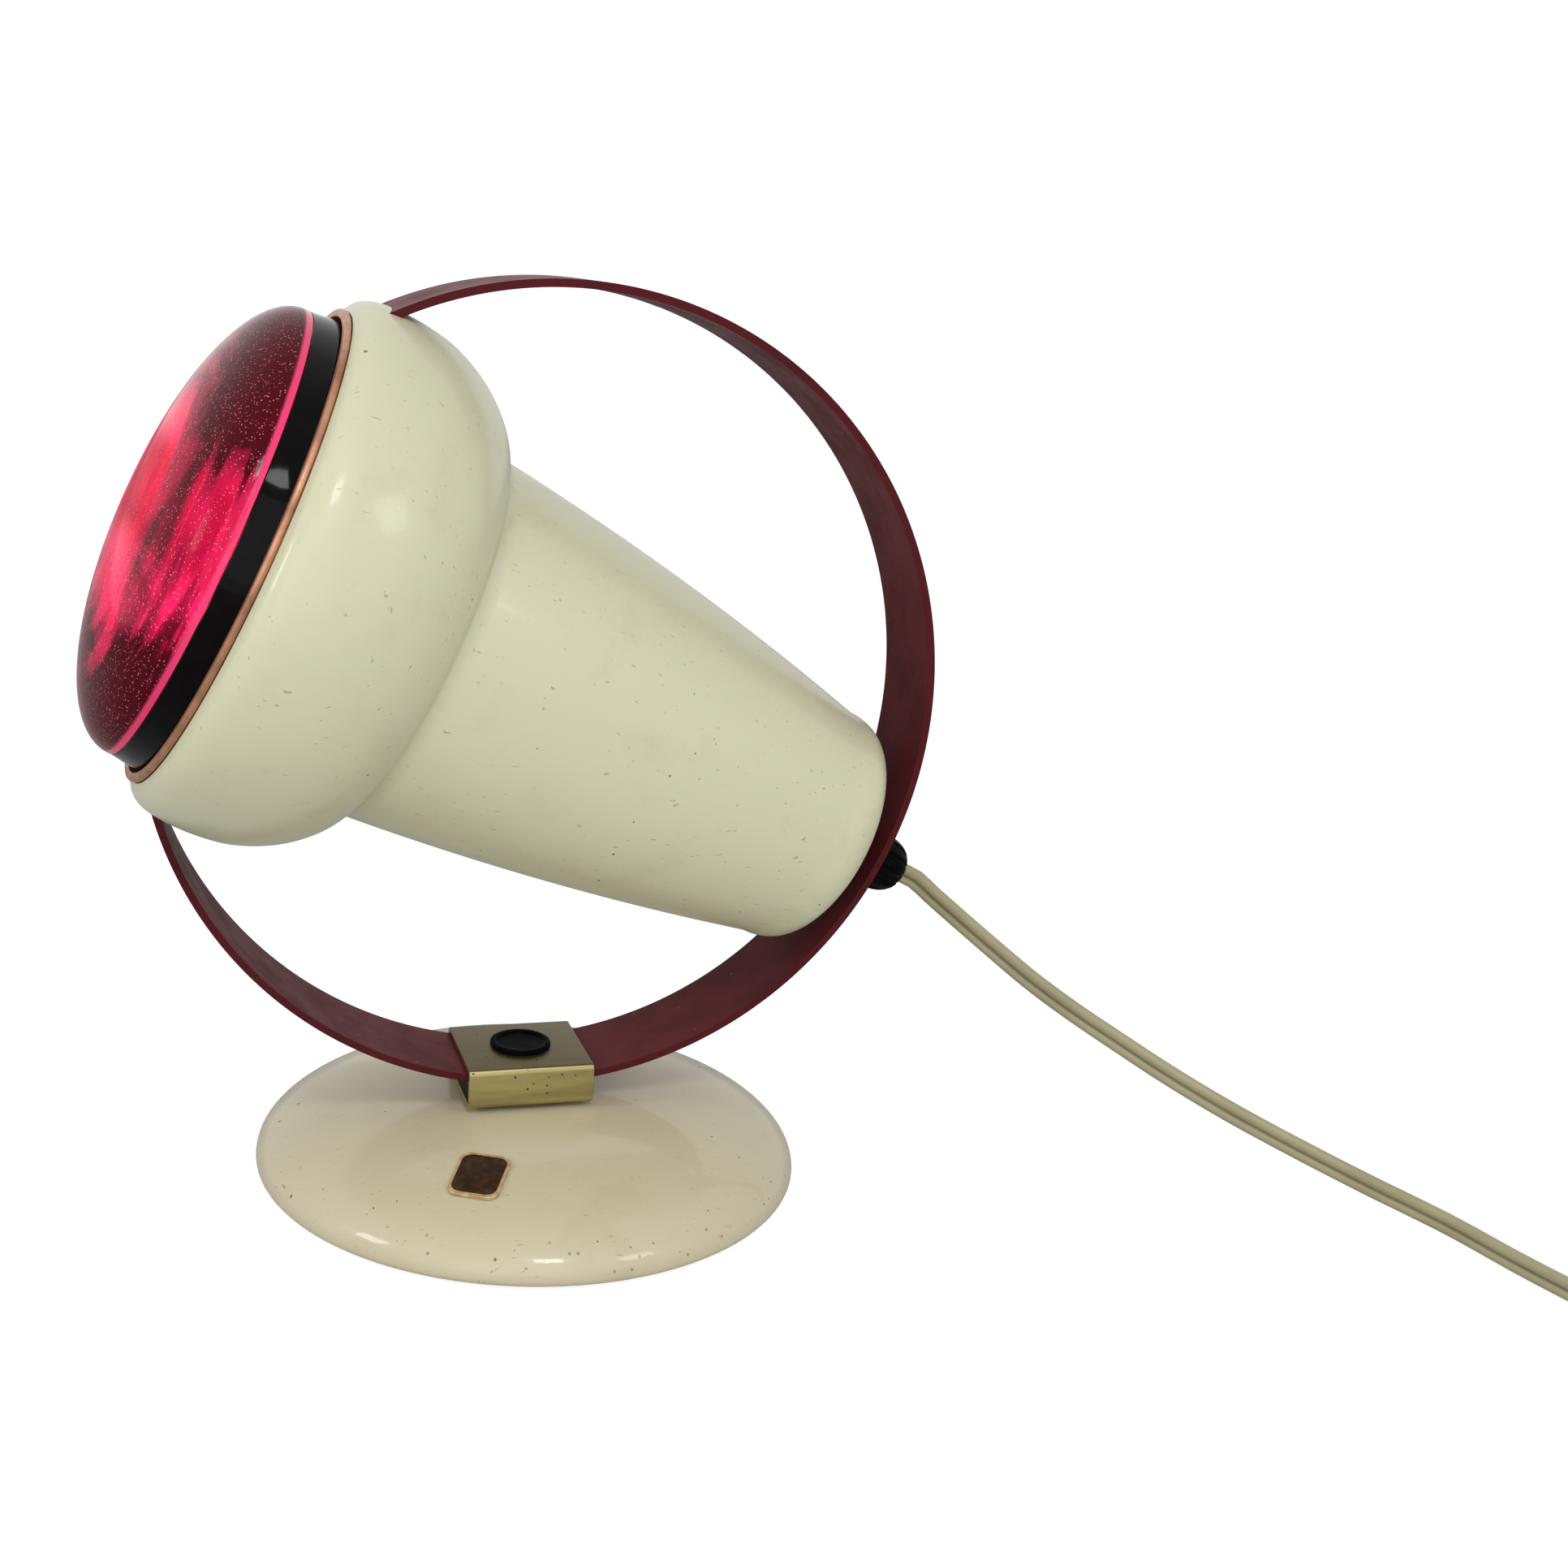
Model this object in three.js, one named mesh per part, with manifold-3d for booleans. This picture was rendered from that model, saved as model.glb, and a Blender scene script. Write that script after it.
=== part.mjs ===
// Table-top infrared heat lamp: a round weighted base, a saddle that turns on it, and a hoop that
// slides through the saddle and carries the lamp head. Millimetres, +Z up. The origin is the
// middle of the base's underside. The bulb looks towards -X and the lead leaves towards +X.
import * as THREE from "three";
import { mergeVertices } from "three/addons/utils/BufferGeometryUtils.js";
import Module from "manifold-3d";

const wasm = await Module();
wasm.setup();

// Fits
const clearance = 0.3;
const overrun = 5;

// Base shell, bottom plate and foot pad
const baseRadius = 78;
const baseWall = 1;
const edgeHeight = 3.5;
const edgeCurl = 2.5;
const lipWidth = 2;
const domeRise = 19.3;
const seatRadius = 13;
const plateThickness = 6;
const recessRadius = 6;
const recessDepth = 3.5;

// Pivot screw and what it clamps
const screwRadius = 2.5;
const screwHeadRadius = 4.8;
const slotWidth = 1.2;
const slotDepth = 1;
const spacerWall = 2.2;
const glideRadius = 12;
const glideThickness = 1;
const lockWasherThickness = 0.8;
const lockWasherRadius = 4.4;
const nutFlats = 8;
const nutHeight = 2.6;
const screwStub = 0.5;

// Blank plate on the dome
const badgeWidth = 14;
const badgeLength = 17;
const badgeCorner = 3;
const badgeThickness = 0.8;
const badgeInset = 26;
const badgeTurn = THREE.MathUtils.degToRad(-116.5);

// Saddle, its shoes and its brake button
const saddleReachLeft = 20.7;
const saddleReachRight = 15.1;
const saddleSheet = 1.2;
const saddleCorner = 1.6;
const saddleSideGap = 0.8;
const shoeLength = 9.6;
const buttonRadius = 8.7;
const buttonStem = 5;
const buttonRise = 1.6;
const buttonRim = 1.8;
const buttonEdge = 0.5;
const buttonDish = 0.7;

// Hoop
const hoopRadius = 106;
const hoopThickness = 2;
const hoopWidth = 30;
const tabLength = 0.8;
const tabInset = 2.1;

// Shade
const headTilt = THREE.MathUtils.degToRad(25.8);
const shadeWall = 1;
const tailStandoff = 7;
const slotReach = 40;
const bellLength = 50.1;
const bellRadius = 70.4;
const lipCurl = 6.3;
const creaseDepth = 19.7;
const tailMidRadius = 44.7;
const tailEndRadius = 34.5;
const tailCap = 16;
const tailPower = 2.9;
const linerWall = 0.9;
const linerLength = 3.4;
const linerFlange = 1.6;

// Nipple, collar and lead outlet
const nippleRadius = 4.8;
const nippleBore = 3.8;
const nippleInside = 12;
const nippleOutside = 5.5;
const backNutFlats = 13;
const backNutHeight = 3;
const collarWall = 3;
const knobLength = 13.1;
const knobRadius = 8.5;
const knobNose = 4.2;
const knobLand = 4;
const knobBore = 3.7;
const noseBore = 2.3;
const noseWall = 2;
const grooveRadius = 0.8;
const grooveCount = 12;

// Lamp holder and its wiring
const holderWall = 5.4;
const holderBack = 4;
const terminalRoom = 20;
const holderPartition = 4;
const socketDepth = 26;
const contactWall = 0.8;
const contactFlange = 5;
const contactRadius = 4.5;
const postRadius = 1.3;
const terminalSide = 5;
const terminalLength = 5;
const terminalOffset = 10;
const coreRadius = 1.2;
const coreOffset = 1.7;
const coreBend = 9;
const coreStraight = 2;

// Bulb
const bulbWall = 1.2;
const bandLength = 8;
const frontHeight = 21.2;
const frontPower = 2.1;
const bandTaper = 1.3;
const bulbGap = 0.7;
const neckRadius = 15.2;
const capRadius = 13.2;
const capLength = 25;
const capWall = 0.6;
const capRidge = 0.7;
const capRidges = 4;
const capEye = 7.5;
const capShoulder = 2.4;
const insulatorHeight = 3;
const tipRadius = 5;
const tipHeight = 2.4;
const seatDepth = 6;
const pressRadius = 4.5;
const pressLength = 46;
const pressFlare = 3;
const supportRadius = 0.7;
const supportSpread = 2.6;
const filamentRadius = 12;
const filamentRise = 22;
const filamentWire = 0.9;
const filamentGap = THREE.MathUtils.degToRad(60);

// Flat twin lead, its coil, tie and plug
const leadWidth = 6.4;
const leadThickness = 3.2;
const leadTwist = THREE.MathUtils.degToRad(24);
const twistShare = 0.45;
const coilX = 310;
const coilY = -148;
const coilStart = THREE.MathUtils.degToRad(196);
const coilOuter = 44;
const coilTurns = 6;
const turnGap = 1.4;
const climbShare = 0.42;
const layerGap = 0.6;
const tieSheet = 0.7;
const tieWidth = 6;
const tieTurn = THREE.MathUtils.degToRad(60);
const plugLength = 38;
const plugWidth = 30;
const plugNeck = 15;
const plugHeight = 13.6;
const plugBevel = 1.2;
const reliefLength = 26;
const reliefRadius = 5.4;
const reliefEnd = 4.2;
const pinRadius = 2;
const pinLength = 19;
const pinSpacing = 18.6;
const pinSeat = 6;

// Fineness of the meshes
const roundSides = 48;
const smallSides = 20;
const wireSides = 8;
const hoopSides = 60;
const cutterSides = 144;
const coilSides = 6;
const coilStepsPerTurn = 24;
const hexSides = 6;
const cornerSteps = 4;
const endSteps = 4;
const bevelSteps = 2;

// The dome, the bell and the reflector as shares of their own length and rise
const bellShares = [
  [0.063, 0.29],
  [0.147, 0.52],
  [0.284, 0.76],
  [0.473, 0.945],
  [0.663, 1],
  [0.82, 0.985],
  [0.92, 0.93],
  [0.975, 0.835],
];
const reflectorShares = [
  [0.04, 0],
  [0.197, 0.06],
  [0.3, 0.16],
  [0.459, 0.418],
  [0.661, 0.766],
  [0.758, 0.882],
  [0.856, 0.966],
  [0.93, 1],
];

// Middle of the free lead, from the outlet to the coil, set on the table at its far end
const leadRoute = [
  [119.9, -1.4, 77.4],
  [126.2, -3, 72.2],
  [138.5, -6.7, 62.2],
  [150.4, -11.3, 52.8],
  [161.8, -16.7, 44.9],
  [175.9, -24.7, 36.2],
  [188.3, -32.9, 28.9],
  [202.8, -44, 21.4],
  [216.3, -55.7, 15.5],
  [232.9, -72.2, 9.2],
  [247.5, -91.5, 4.9],
  [254.9, -113, 3.5],
  [259.4, -131.3, 3.8],
];
// Way along the coil's leaving line and height of the lead between the coil and the plug
const tailRoute = [
  [13, 10.3],
  [26, 7.8],
];
const tailReach = 40;

// Colours read from the object
const finish = (color, roughness, metalness) =>
  new THREE.MeshStandardMaterial({ color, roughness, metalness });
const cream = finish(0xd2cfae, 0.32, 0);
const burgundy = finish(0x5f2529, 0.42, 0.35);
const bronze = finish(0x9a9058, 0.4, 0.8);
const copper = finish(0xb98a66, 0.4, 0.6);
const ruby = finish(0xa80f3a, 0.06, 0);
const mirrorBlack = finish(0x0c0a0c, 0.08, 0.1);
const darkRubber = finish(0x1c2522, 0.5, 0);
const blackPlastic = finish(0x0f0f10, 0.45, 0);
const steel = finish(0xa8a9aa, 0.35, 1);
const castIron = finish(0x3c3d3f, 0.7, 0.8);
const brass = finish(0xb99a4c, 0.3, 1);
const ceramic = finish(0xe6e3da, 0.35, 0);
const felt = finish(0x4b4038, 0.95, 0);
const plateBrown = finish(0x3a2417, 0.35, 0);
const clearGlass = finish(0xd9dcd8, 0.05, 0);
const tungsten = finish(0x77726c, 0.5, 1);
const leadPlastic = finish(0xbdb795, 0.45, 0);
const nylon = finish(0x1a1a1a, 0.6, 0);

// Heights from the table up to the hoop's centre
const padTop = edgeHeight - edgeCurl + baseWall;
const plateBottom = padTop + clearance;
const plateTop = plateBottom + plateThickness;
const domeTop = edgeHeight + domeRise;
const glideBottom = domeTop + clearance;
const glideTop = glideBottom + glideThickness;
const saddleBottom = glideTop + clearance;
const saddleFloor = saddleBottom + saddleSheet;
const lockWasherBottom = saddleFloor + clearance;
const nutBottom = lockWasherBottom + lockWasherThickness + clearance;
const screwTop = nutBottom + nutHeight + screwStub;
const hoopInner = hoopRadius - hoopThickness / 2;
const hoopOuter = hoopRadius + hoopThickness / 2;
const hoopCentre = screwTop + clearance + hoopOuter;
const saddleCeiling = hoopCentre + clearance - Math.sqrt(hoopInner ** 2 - saddleReachLeft ** 2);
const saddleTop = saddleCeiling + saddleSheet;
const saddleMiddle = (saddleReachRight - saddleReachLeft) / 2;
const saddleInside = hoopWidth / 2 + saddleSideGap;
const boltHole = screwRadius + clearance;

// Stations on the head's axis, counted from the hoop's centre towards the bulb
const tailTip = tailStandoff - hoopInner;
const crease = Math.sqrt(hoopRadius ** 2 - bellRadius ** 2) - slotReach;
const lip = crease + bellLength;
const lipRadius = bellRadius - lipCurl;
const creaseRadius = bellRadius - creaseDepth;
const linerOuter = lipRadius - shadeWall - clearance;
const linerInner = linerOuter - linerWall;
const envelopeRadius = linerInner - bulbGap;
const frontRadius = envelopeRadius - bandTaper;
const outletHole = nippleRadius + clearance;
const knobFoot = -(hoopOuter + clearance);
const knobTip = knobFoot - knobLength;
const nippleBack = knobFoot - nippleOutside;
const nippleFront = tailTip + nippleInside;
const backNutRear = tailTip + shadeWall + clearance;
const holderRear = backNutRear + backNutHeight + clearance;
const roomRear = holderRear + holderBack;
const partitionRear = roomRear + terminalRoom;
const partitionFront = partitionRear + holderPartition;
const holderFront = partitionFront + socketDepth;
const contactRear = partitionFront + clearance;
const bulbTip = contactRear + contactWall + clearance;
const capRear = bulbTip + tipHeight + clearance;
const capFront = capRear + capLength;
const bandFront = lip + bandLength;
const glassRear = bandFront + clearance;
const socketRadius = capRadius + clearance;
const holderBore = socketRadius + contactWall + clearance;
const holderRadius = holderBore + holderWall;

// Heights and places of the coiled lead
const turnPitch = leadThickness + turnGap;
const coilInner = coilOuter - (turnPitch * coilTurns) / 2;
const lowLayer = tieSheet + clearance + leadWidth / 2;
const highLayer = lowLayer + leadWidth + layerGap;
const plugAxis = plugHeight / 2;
const coilMiddle = new THREE.Vector3(coilX, coilY, 0);
const coilSpoke = new THREE.Vector3(Math.cos(coilStart), Math.sin(coilStart), 0);
const coilHeading = new THREE.Vector3(-Math.sin(coilStart), Math.cos(coilStart), 0);

// Solids: three.js geometry in and out of the boolean kernel
function solid(geometry) {
  const bare = new THREE.BufferGeometry();
  bare.setAttribute("position", geometry.getAttribute("position"));
  if (geometry.index) bare.setIndex(geometry.index);
  const merged = mergeVertices(bare);
  return new wasm.Manifold(
    new wasm.Mesh({
      numProp: 3,
      vertProperties: new Float32Array(merged.attributes.position.array),
      triVerts: new Uint32Array(merged.index.array),
    }),
  );
}

function geometryOf(body) {
  const mesh = body.getMesh();
  const geometry = new THREE.BufferGeometry();
  geometry.setAttribute("position", new THREE.BufferAttribute(mesh.vertProperties, 3));
  geometry.setIndex(new THREE.BufferAttribute(mesh.triVerts, 1));
  geometry.computeVertexNormals();
  return geometry;
}

// Profiles are lists of [radius, height], walked so that the outside is passed going up
function turned(profile, sides = roundSides) {
  const points = profile.map(([radius, height]) => new THREE.Vector2(radius, height));
  return new THREE.LatheGeometry(points, sides).rotateX(Math.PI / 2);
}

function ring(inner, outer, low, high, sides = roundSides) {
  return turned([[inner, low], [outer, low], [outer, high], [inner, high], [inner, low]], sides);
}

function disc(radius, low, high, sides = roundSides) {
  return turned([[0, low], [radius, low], [radius, high], [0, high]], sides);
}

// Moves a profile square to itself; a positive distance goes to the left of the walk
function offsetProfile(points, distance) {
  const normals = points.slice(1).map(([radius, height], i) => {
    const [lastRadius, lastHeight] = points[i];
    return new THREE.Vector2(lastHeight - height, radius - lastRadius).normalize();
  });
  return points.map(([radius, height], i) => {
    const before = normals[Math.max(i - 1, 0)];
    const after = normals[Math.min(i, normals.length - 1)];
    const mitre = before.clone().add(after).divideScalar(1 + before.dot(after));
    return [radius + mitre.x * distance, height + mitre.y * distance];
  });
}

function sheetProfile(points, wall) {
  const inside = offsetProfile(points, wall).reverse();
  return [...points, ...inside, points[0]];
}

function box(x0, x1, y0, y1, z0, z1) {
  return new THREE.BoxGeometry(x1 - x0, y1 - y0, z1 - z0).translate(
    (x0 + x1) / 2,
    (y0 + y1) / 2,
    (z0 + z1) / 2,
  );
}

function roundedRectangle(width, height, corner) {
  const shape = new THREE.Shape();
  const x = width / 2 - corner;
  const y = height / 2 - corner;
  shape.absarc(x, y, corner, 0, Math.PI / 2);
  shape.absarc(-x, y, corner, Math.PI / 2, Math.PI);
  shape.absarc(-x, -y, corner, Math.PI, 1.5 * Math.PI);
  shape.absarc(x, -y, corner, 1.5 * Math.PI, 2 * Math.PI);
  return shape;
}

function extruded(shape, depth) {
  return new THREE.ExtrudeGeometry(shape, { depth, bevelEnabled: false, curveSegments: cornerSteps });
}

function hexagon(flats, bore, low, high) {
  const corner = flats / Math.sqrt(3);
  const body = new THREE.CylinderGeometry(corner, corner, high - low, hexSides)
    .rotateX(Math.PI / 2)
    .translate(0, 0, (low + high) / 2);
  const hole = disc(bore, low - overrun, high + overrun, smallSides);
  return geometryOf(solid(body).subtract(solid(hole)));
}

// A drum about the tilt axis, as wide as the hoop and more, for cutting seats to the hoop's curve
function tiltDrum(radius, height) {
  const width = 2 * (hoopWidth + overrun);
  return new THREE.CylinderGeometry(radius, radius, width, cutterSides).translate(0, 0, height);
}

function polygon(points) {
  return new THREE.Shape(points.map(([x, y]) => new THREE.Vector2(x, y)));
}

function flatSection(width, thickness, sides) {
  const start = sides % 4 ? 0 : Math.PI / sides;
  const acrossTop = sides % 4 ? Math.sin((2 * Math.PI) / sides) : Math.cos(start);
  const points = Array.from({ length: sides }, (_, i) => {
    const turn = start + (2 * Math.PI * i) / sides;
    const x = ((width / 2) * Math.cos(turn)) / Math.cos(start);
    return [x, ((thickness / 2) * Math.sin(turn)) / acrossTop];
  });
  return polygon(points);
}

// Frames that keep the lead's wide side upright, leaning by a given angle along the way
function uprightFrames(curve, segments, leanAt) {
  const frames = { tangents: [], normals: [], binormals: [] };
  for (let i = 0; i <= segments; i++) {
    const share = i / segments;
    const tangent = curve.getTangentAt(share);
    const upright = new THREE.Vector3(0, 0, 1).addScaledVector(tangent, -tangent.z).normalize();
    upright.applyAxisAngle(tangent, leanAt(share));
    frames.tangents.push(tangent);
    frames.normals.push(upright);
    frames.binormals.push(tangent.clone().cross(upright));
  }
  return frames;
}

class FlatLead extends THREE.CatmullRomCurve3 {
  constructor(points, leanAt = () => 0) {
    super(points, false, "centripetal");
    this.leanAt = leanAt;
  }
  computeFrenetFrames(segments) {
    return uprightFrames(this, segments, this.leanAt);
  }
}

// The coil: straight in, spiralling inwards low down, climbing, and outwards again on top
class FlatCoil extends THREE.Curve {
  constructor() {
    super();
    this.turnLength = Math.PI * (coilOuter + coilInner) * coilTurns;
    this.length = this.turnLength + 2 * leadWidth;
  }
  spiral(share) {
    const reversal = 1 / 2;
    const radius = coilInner + ((coilOuter - coilInner) * Math.abs(share - reversal)) / reversal;
    const climb = ((share - reversal) * 2 * coilTurns) / climbShare + reversal;
    const height = THREE.MathUtils.lerp(lowLayer, highLayer, THREE.MathUtils.smoothstep(climb, 0, 1));
    const turn = coilStart + 2 * Math.PI * coilTurns * share;
    return new THREE.Vector3(Math.cos(turn) * radius, Math.sin(turn) * radius, height).add(coilMiddle);
  }
  getPoint(share) {
    const way = share * this.length - leadWidth;
    if (way < 0) return this.spiral(0).addScaledVector(coilHeading, way);
    if (way > this.turnLength) {
      return this.spiral(1).addScaledVector(coilHeading, way - this.turnLength);
    }
    return this.spiral(way / this.turnLength);
  }
  computeFrenetFrames(segments) {
    return uprightFrames(this, segments, () => 0);
  }
}

function swept(curve, section, steps) {
  return new THREE.ExtrudeGeometry(section, { steps, extrudePath: curve });
}

function rod(from, to, radius) {
  const way = to.clone().sub(from);
  const aim = new THREE.Quaternion().setFromUnitVectors(
    new THREE.Vector3(0, 1, 0),
    way.clone().normalize(),
  );
  return new THREE.CylinderGeometry(radius, radius, way.length(), wireSides)
    .applyQuaternion(aim)
    .translate(...from.clone().add(to).divideScalar(2).toArray());
}

function named(name, geometry, material) {
  const mesh = new THREE.Mesh(geometry, material);
  mesh.name = name;
  return mesh;
}

// Base shell: rolled edge, dome and a flat seat round the pivot hole
const domeSteps = 8;
const curlSteps = 3;

function domePoints() {
  return Array.from({ length: domeSteps + 1 }, (_, i) => {
    const turn = (Math.PI / 2) * (i / domeSteps);
    const radius = seatRadius + (baseRadius - seatRadius) * Math.cos(turn);
    return [radius, edgeHeight + domeRise * Math.sin(turn)];
  });
}

function baseShell() {
  const curlMiddle = baseRadius - edgeCurl;
  const curl = Array.from({ length: curlSteps }, (_, i) => {
    const turn = (Math.PI / 2) * (i / curlSteps - 1);
    return [curlMiddle + edgeCurl * Math.cos(turn), edgeHeight + edgeCurl * Math.sin(turn)];
  });
  const outside = [
    [curlMiddle - lipWidth, edgeHeight - edgeCurl],
    ...curl,
    ...domePoints(),
    [boltHole, domeTop],
  ];
  return turned(sheetProfile(outside, baseWall));
}

function domeRadiusAt(height) {
  const share = Math.sqrt(1 - ((height - edgeHeight) / domeRise) ** 2);
  return seatRadius + (baseRadius - seatRadius) * share;
}

function basePlate() {
  const outer = domeRadiusAt(plateTop) - 2 * baseWall - clearance;
  const recessTop = plateBottom + recessDepth;
  return turned([
    [recessRadius, plateBottom],
    [outer, plateBottom],
    [outer, plateTop],
    [boltHole, plateTop],
    [boltHole, recessTop],
    [recessRadius, recessTop],
    [recessRadius, plateBottom],
  ]);
}

function footPad() {
  const lipInner = baseRadius - edgeCurl - lipWidth;
  return disc(lipInner - clearance, 0, padTop);
}

function pivotScrew() {
  const headBottom = plateBottom + clearance;
  const headTop = plateBottom + recessDepth - clearance;
  const body = turned(
    [
      [0, headBottom],
      [screwHeadRadius, headBottom],
      [screwHeadRadius, headTop],
      [screwRadius, headTop],
      [screwRadius, screwTop],
      [0, screwTop],
    ],
    smallSides,
  );
  const slot = box(
    -screwHeadRadius - overrun,
    screwHeadRadius + overrun,
    -slotWidth / 2,
    slotWidth / 2,
    headBottom - overrun,
    headBottom + slotDepth,
  );
  return geometryOf(solid(body).subtract(solid(slot)));
}

function blankBadge() {
  const skin = sheetProfile(offsetProfile(domePoints(), -clearance - badgeThickness), badgeThickness);
  const outline = roundedRectangle(badgeLength, badgeWidth, badgeCorner);
  const column = extruded(outline, domeTop + overrun)
    .translate(baseRadius - badgeInset, 0, 0)
    .rotateZ(badgeTurn);
  return geometryOf(solid(turned(skin)).intersect(solid(column)));
}

// Saddle: a folded box section, open at both ends, with the hoop running through it
const lengthwise = new THREE.Matrix4().makeBasis(
  new THREE.Vector3(0, 1, 0),
  new THREE.Vector3(0, 0, 1),
  new THREE.Vector3(1, 0, 0),
);

function saddleBody() {
  const height = saddleTop - saddleBottom;
  const halfWidth = saddleInside + saddleSheet;
  const section = roundedRectangle(2 * halfWidth, height, saddleCorner);
  const hollowHeight = height - 2 * saddleSheet;
  const hollow = roundedRectangle(2 * saddleInside, hollowHeight, saddleCorner - saddleSheet);
  section.holes.push(hollow);
  const body = extruded(section, saddleReachLeft + saddleReachRight)
    .applyMatrix4(lengthwise)
    .translate(-saddleReachLeft, 0, (saddleTop + saddleBottom) / 2);
  const boltCut = disc(boltHole, saddleBottom - overrun, saddleFloor + clearance, smallSides);
  const stemHole = buttonStem + clearance;
  const stemCut = disc(stemHole, saddleCeiling - clearance, saddleTop + overrun, smallSides);
  stemCut.translate(saddleMiddle, 0, 0);
  return geometryOf(solid(body).subtract(solid(boltCut)).subtract(solid(stemCut)));
}

function saddleShoe(from) {
  const block = box(
    from,
    from + shoeLength,
    clearance - saddleInside,
    saddleInside - clearance,
    saddleFloor + clearance,
    saddleCeiling,
  );
  return geometryOf(solid(block).subtract(solid(tiltDrum(hoopOuter + clearance, hoopCentre))));
}

function brakeButton() {
  const seat = saddleTop + clearance;
  const top = saddleTop + buttonRise;
  const dishRadius = buttonRadius - buttonRim;
  const body = turned(
    [
      [0, hoopCentre - hoopInner],
      [buttonStem, hoopCentre - hoopInner],
      [buttonStem, seat],
      [buttonRadius, seat],
      [buttonRadius, top - buttonEdge],
      [buttonRadius - buttonEdge, top],
      [dishRadius, top],
      [dishRadius - buttonEdge, top - buttonDish],
      [0, top - buttonDish],
    ],
    smallSides,
  ).translate(saddleMiddle, 0, 0);
  return geometryOf(solid(body).intersect(solid(tiltDrum(hoopInner - clearance, hoopCentre))));
}

// Hoop: an open ring whose two ends pass through the bell and lie flat inside it as tabs
const crosswise = new THREE.Matrix4().makeBasis(
  new THREE.Vector3(0, 0, 1),
  new THREE.Vector3(1, 0, 0),
  new THREE.Vector3(0, 1, 0),
);

function hoopBand(growth) {
  const outer = hoopOuter + growth;
  const inner = hoopInner - growth;
  const tabFace = Math.sqrt((bellRadius - shadeWall) ** 2 - (hoopWidth / 2) ** 2) - tabInset;
  const faceOut = tabFace + growth;
  const faceIn = tabFace - hoopThickness - growth;
  const tabEnd = Math.sqrt(hoopOuter ** 2 - tabFace ** 2) + tabLength + growth;
  const arc = (radius, face) => {
    const start = Math.asin(face / radius);
    const sweep = 2 * (Math.PI - start);
    return Array.from({ length: hoopSides + 1 }, (_, i) => {
      const turn = start + (sweep * i) / hoopSides;
      return [radius * Math.cos(turn), radius * Math.sin(turn)];
    });
  };
  const outline = [
    [tabEnd, faceIn],
    [tabEnd, faceOut],
    ...arc(outer, faceOut),
    [tabEnd, -faceOut],
    [tabEnd, -faceIn],
    ...arc(inner, faceIn).reverse(),
  ];
  const width = hoopWidth + 2 * growth;
  return extruded(polygon(outline), width).translate(0, 0, -width / 2).applyMatrix4(crosswise);
}

function hoop() {
  const hole = disc(outletHole, -hoopOuter - overrun, -hoopInner + overrun, smallSides);
  return geometryOf(solid(hoopBand(0)).subtract(solid(hole)));
}

// Shade: rounded tail end, gently swelling tail, crease, and the bell with its lip
const capSteps = 7;
const tailSteps = 3;
const bellSteps = bellShares.length + 1;

function shadeOutside() {
  const end = [];
  for (let i = 1; i < capSteps; i++) {
    const turn = (Math.PI / 2) * (i / capSteps);
    const radius = tailEndRadius * Math.sin(turn) ** (2 / tailPower);
    const height = tailTip + tailCap * (1 - Math.cos(turn) ** (2 / tailPower));
    if (radius > outletHole + grooveRadius) end.push([radius, height]);
  }
  const from = new THREE.Vector2(tailEndRadius, tailTip + tailCap);
  const to = new THREE.Vector2(creaseRadius, crease);
  const middle = new THREE.Vector2(tailMidRadius, (from.y + to.y) / 2);
  const pull = middle.multiplyScalar(2).sub(from.clone().add(to).divideScalar(2));
  const tail = new THREE.QuadraticBezierCurve(from, pull, to).getPoints(tailSteps);
  const swell = bellRadius - creaseRadius;
  const bell = new THREE.SplineCurve([
    to,
    ...bellShares.map(
      ([along, out]) => new THREE.Vector2(creaseRadius + swell * out, crease + bellLength * along),
    ),
    new THREE.Vector2(lipRadius, lip),
  ]).getPoints(bellSteps);
  const rest = [...tail, ...bell.slice(1)].map((point) => [point.x, point.y]);
  return [[outletHole, tailTip], ...end, ...rest];
}

function shade() {
  const shell = turned(sheetProfile(shadeOutside(), shadeWall));
  return geometryOf(solid(shell).subtract(solid(hoopBand(clearance))));
}

function lipLiner() {
  const seat = lip + clearance;
  return turned([
    [linerInner, lip - linerLength],
    [linerOuter, lip - linerLength],
    [linerOuter, seat],
    [lipRadius, seat],
    [lipRadius, seat + linerFlange],
    [linerInner, seat + linerFlange],
    [linerInner, lip - linerLength],
  ]);
}

// Outlet: collar between tail and hoop, and a domed, grooved knob behind the hoop
function collar() {
  const body = ring(outletHole, outletHole + collarWall, -hoopOuter, tailTip - clearance, smallSides);
  return geometryOf(solid(body).intersect(solid(tiltDrum(hoopInner - clearance, 0))));
}

const knobSteps = 4;

function outletKnob() {
  const dome = Array.from({ length: knobSteps + 1 }, (_, i) => {
    const turn = (Math.PI / 2) * (i / knobSteps);
    const radius = knobNose + (knobRadius - knobNose) * Math.sin(turn);
    return [radius, knobTip + (knobLength - knobLand) * (1 - Math.cos(turn))];
  });
  const shoulder = nippleBack - clearance;
  const noseTop = knobTip + noseWall;
  const profile = [
    [noseBore, knobTip],
    ...dome,
    [knobRadius, knobFoot],
    [outletHole, knobFoot],
    [outletHole, shoulder],
    [knobBore, shoulder],
    [knobBore, noseTop],
    [noseBore, noseTop],
    [noseBore, knobTip],
  ];
  let body = solid(turned(profile, 2 * grooveCount));
  for (let i = 0; i < grooveCount; i++) {
    const groove = new THREE.CylinderGeometry(grooveRadius, grooveRadius, 2 * knobLength, hexSides)
      .rotateX(Math.PI / 2)
      .translate(knobRadius, 0, knobTip)
      .rotateZ((2 * Math.PI * i) / grooveCount);
    body = body.subtract(solid(groove));
  }
  return geometryOf(body);
}

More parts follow.
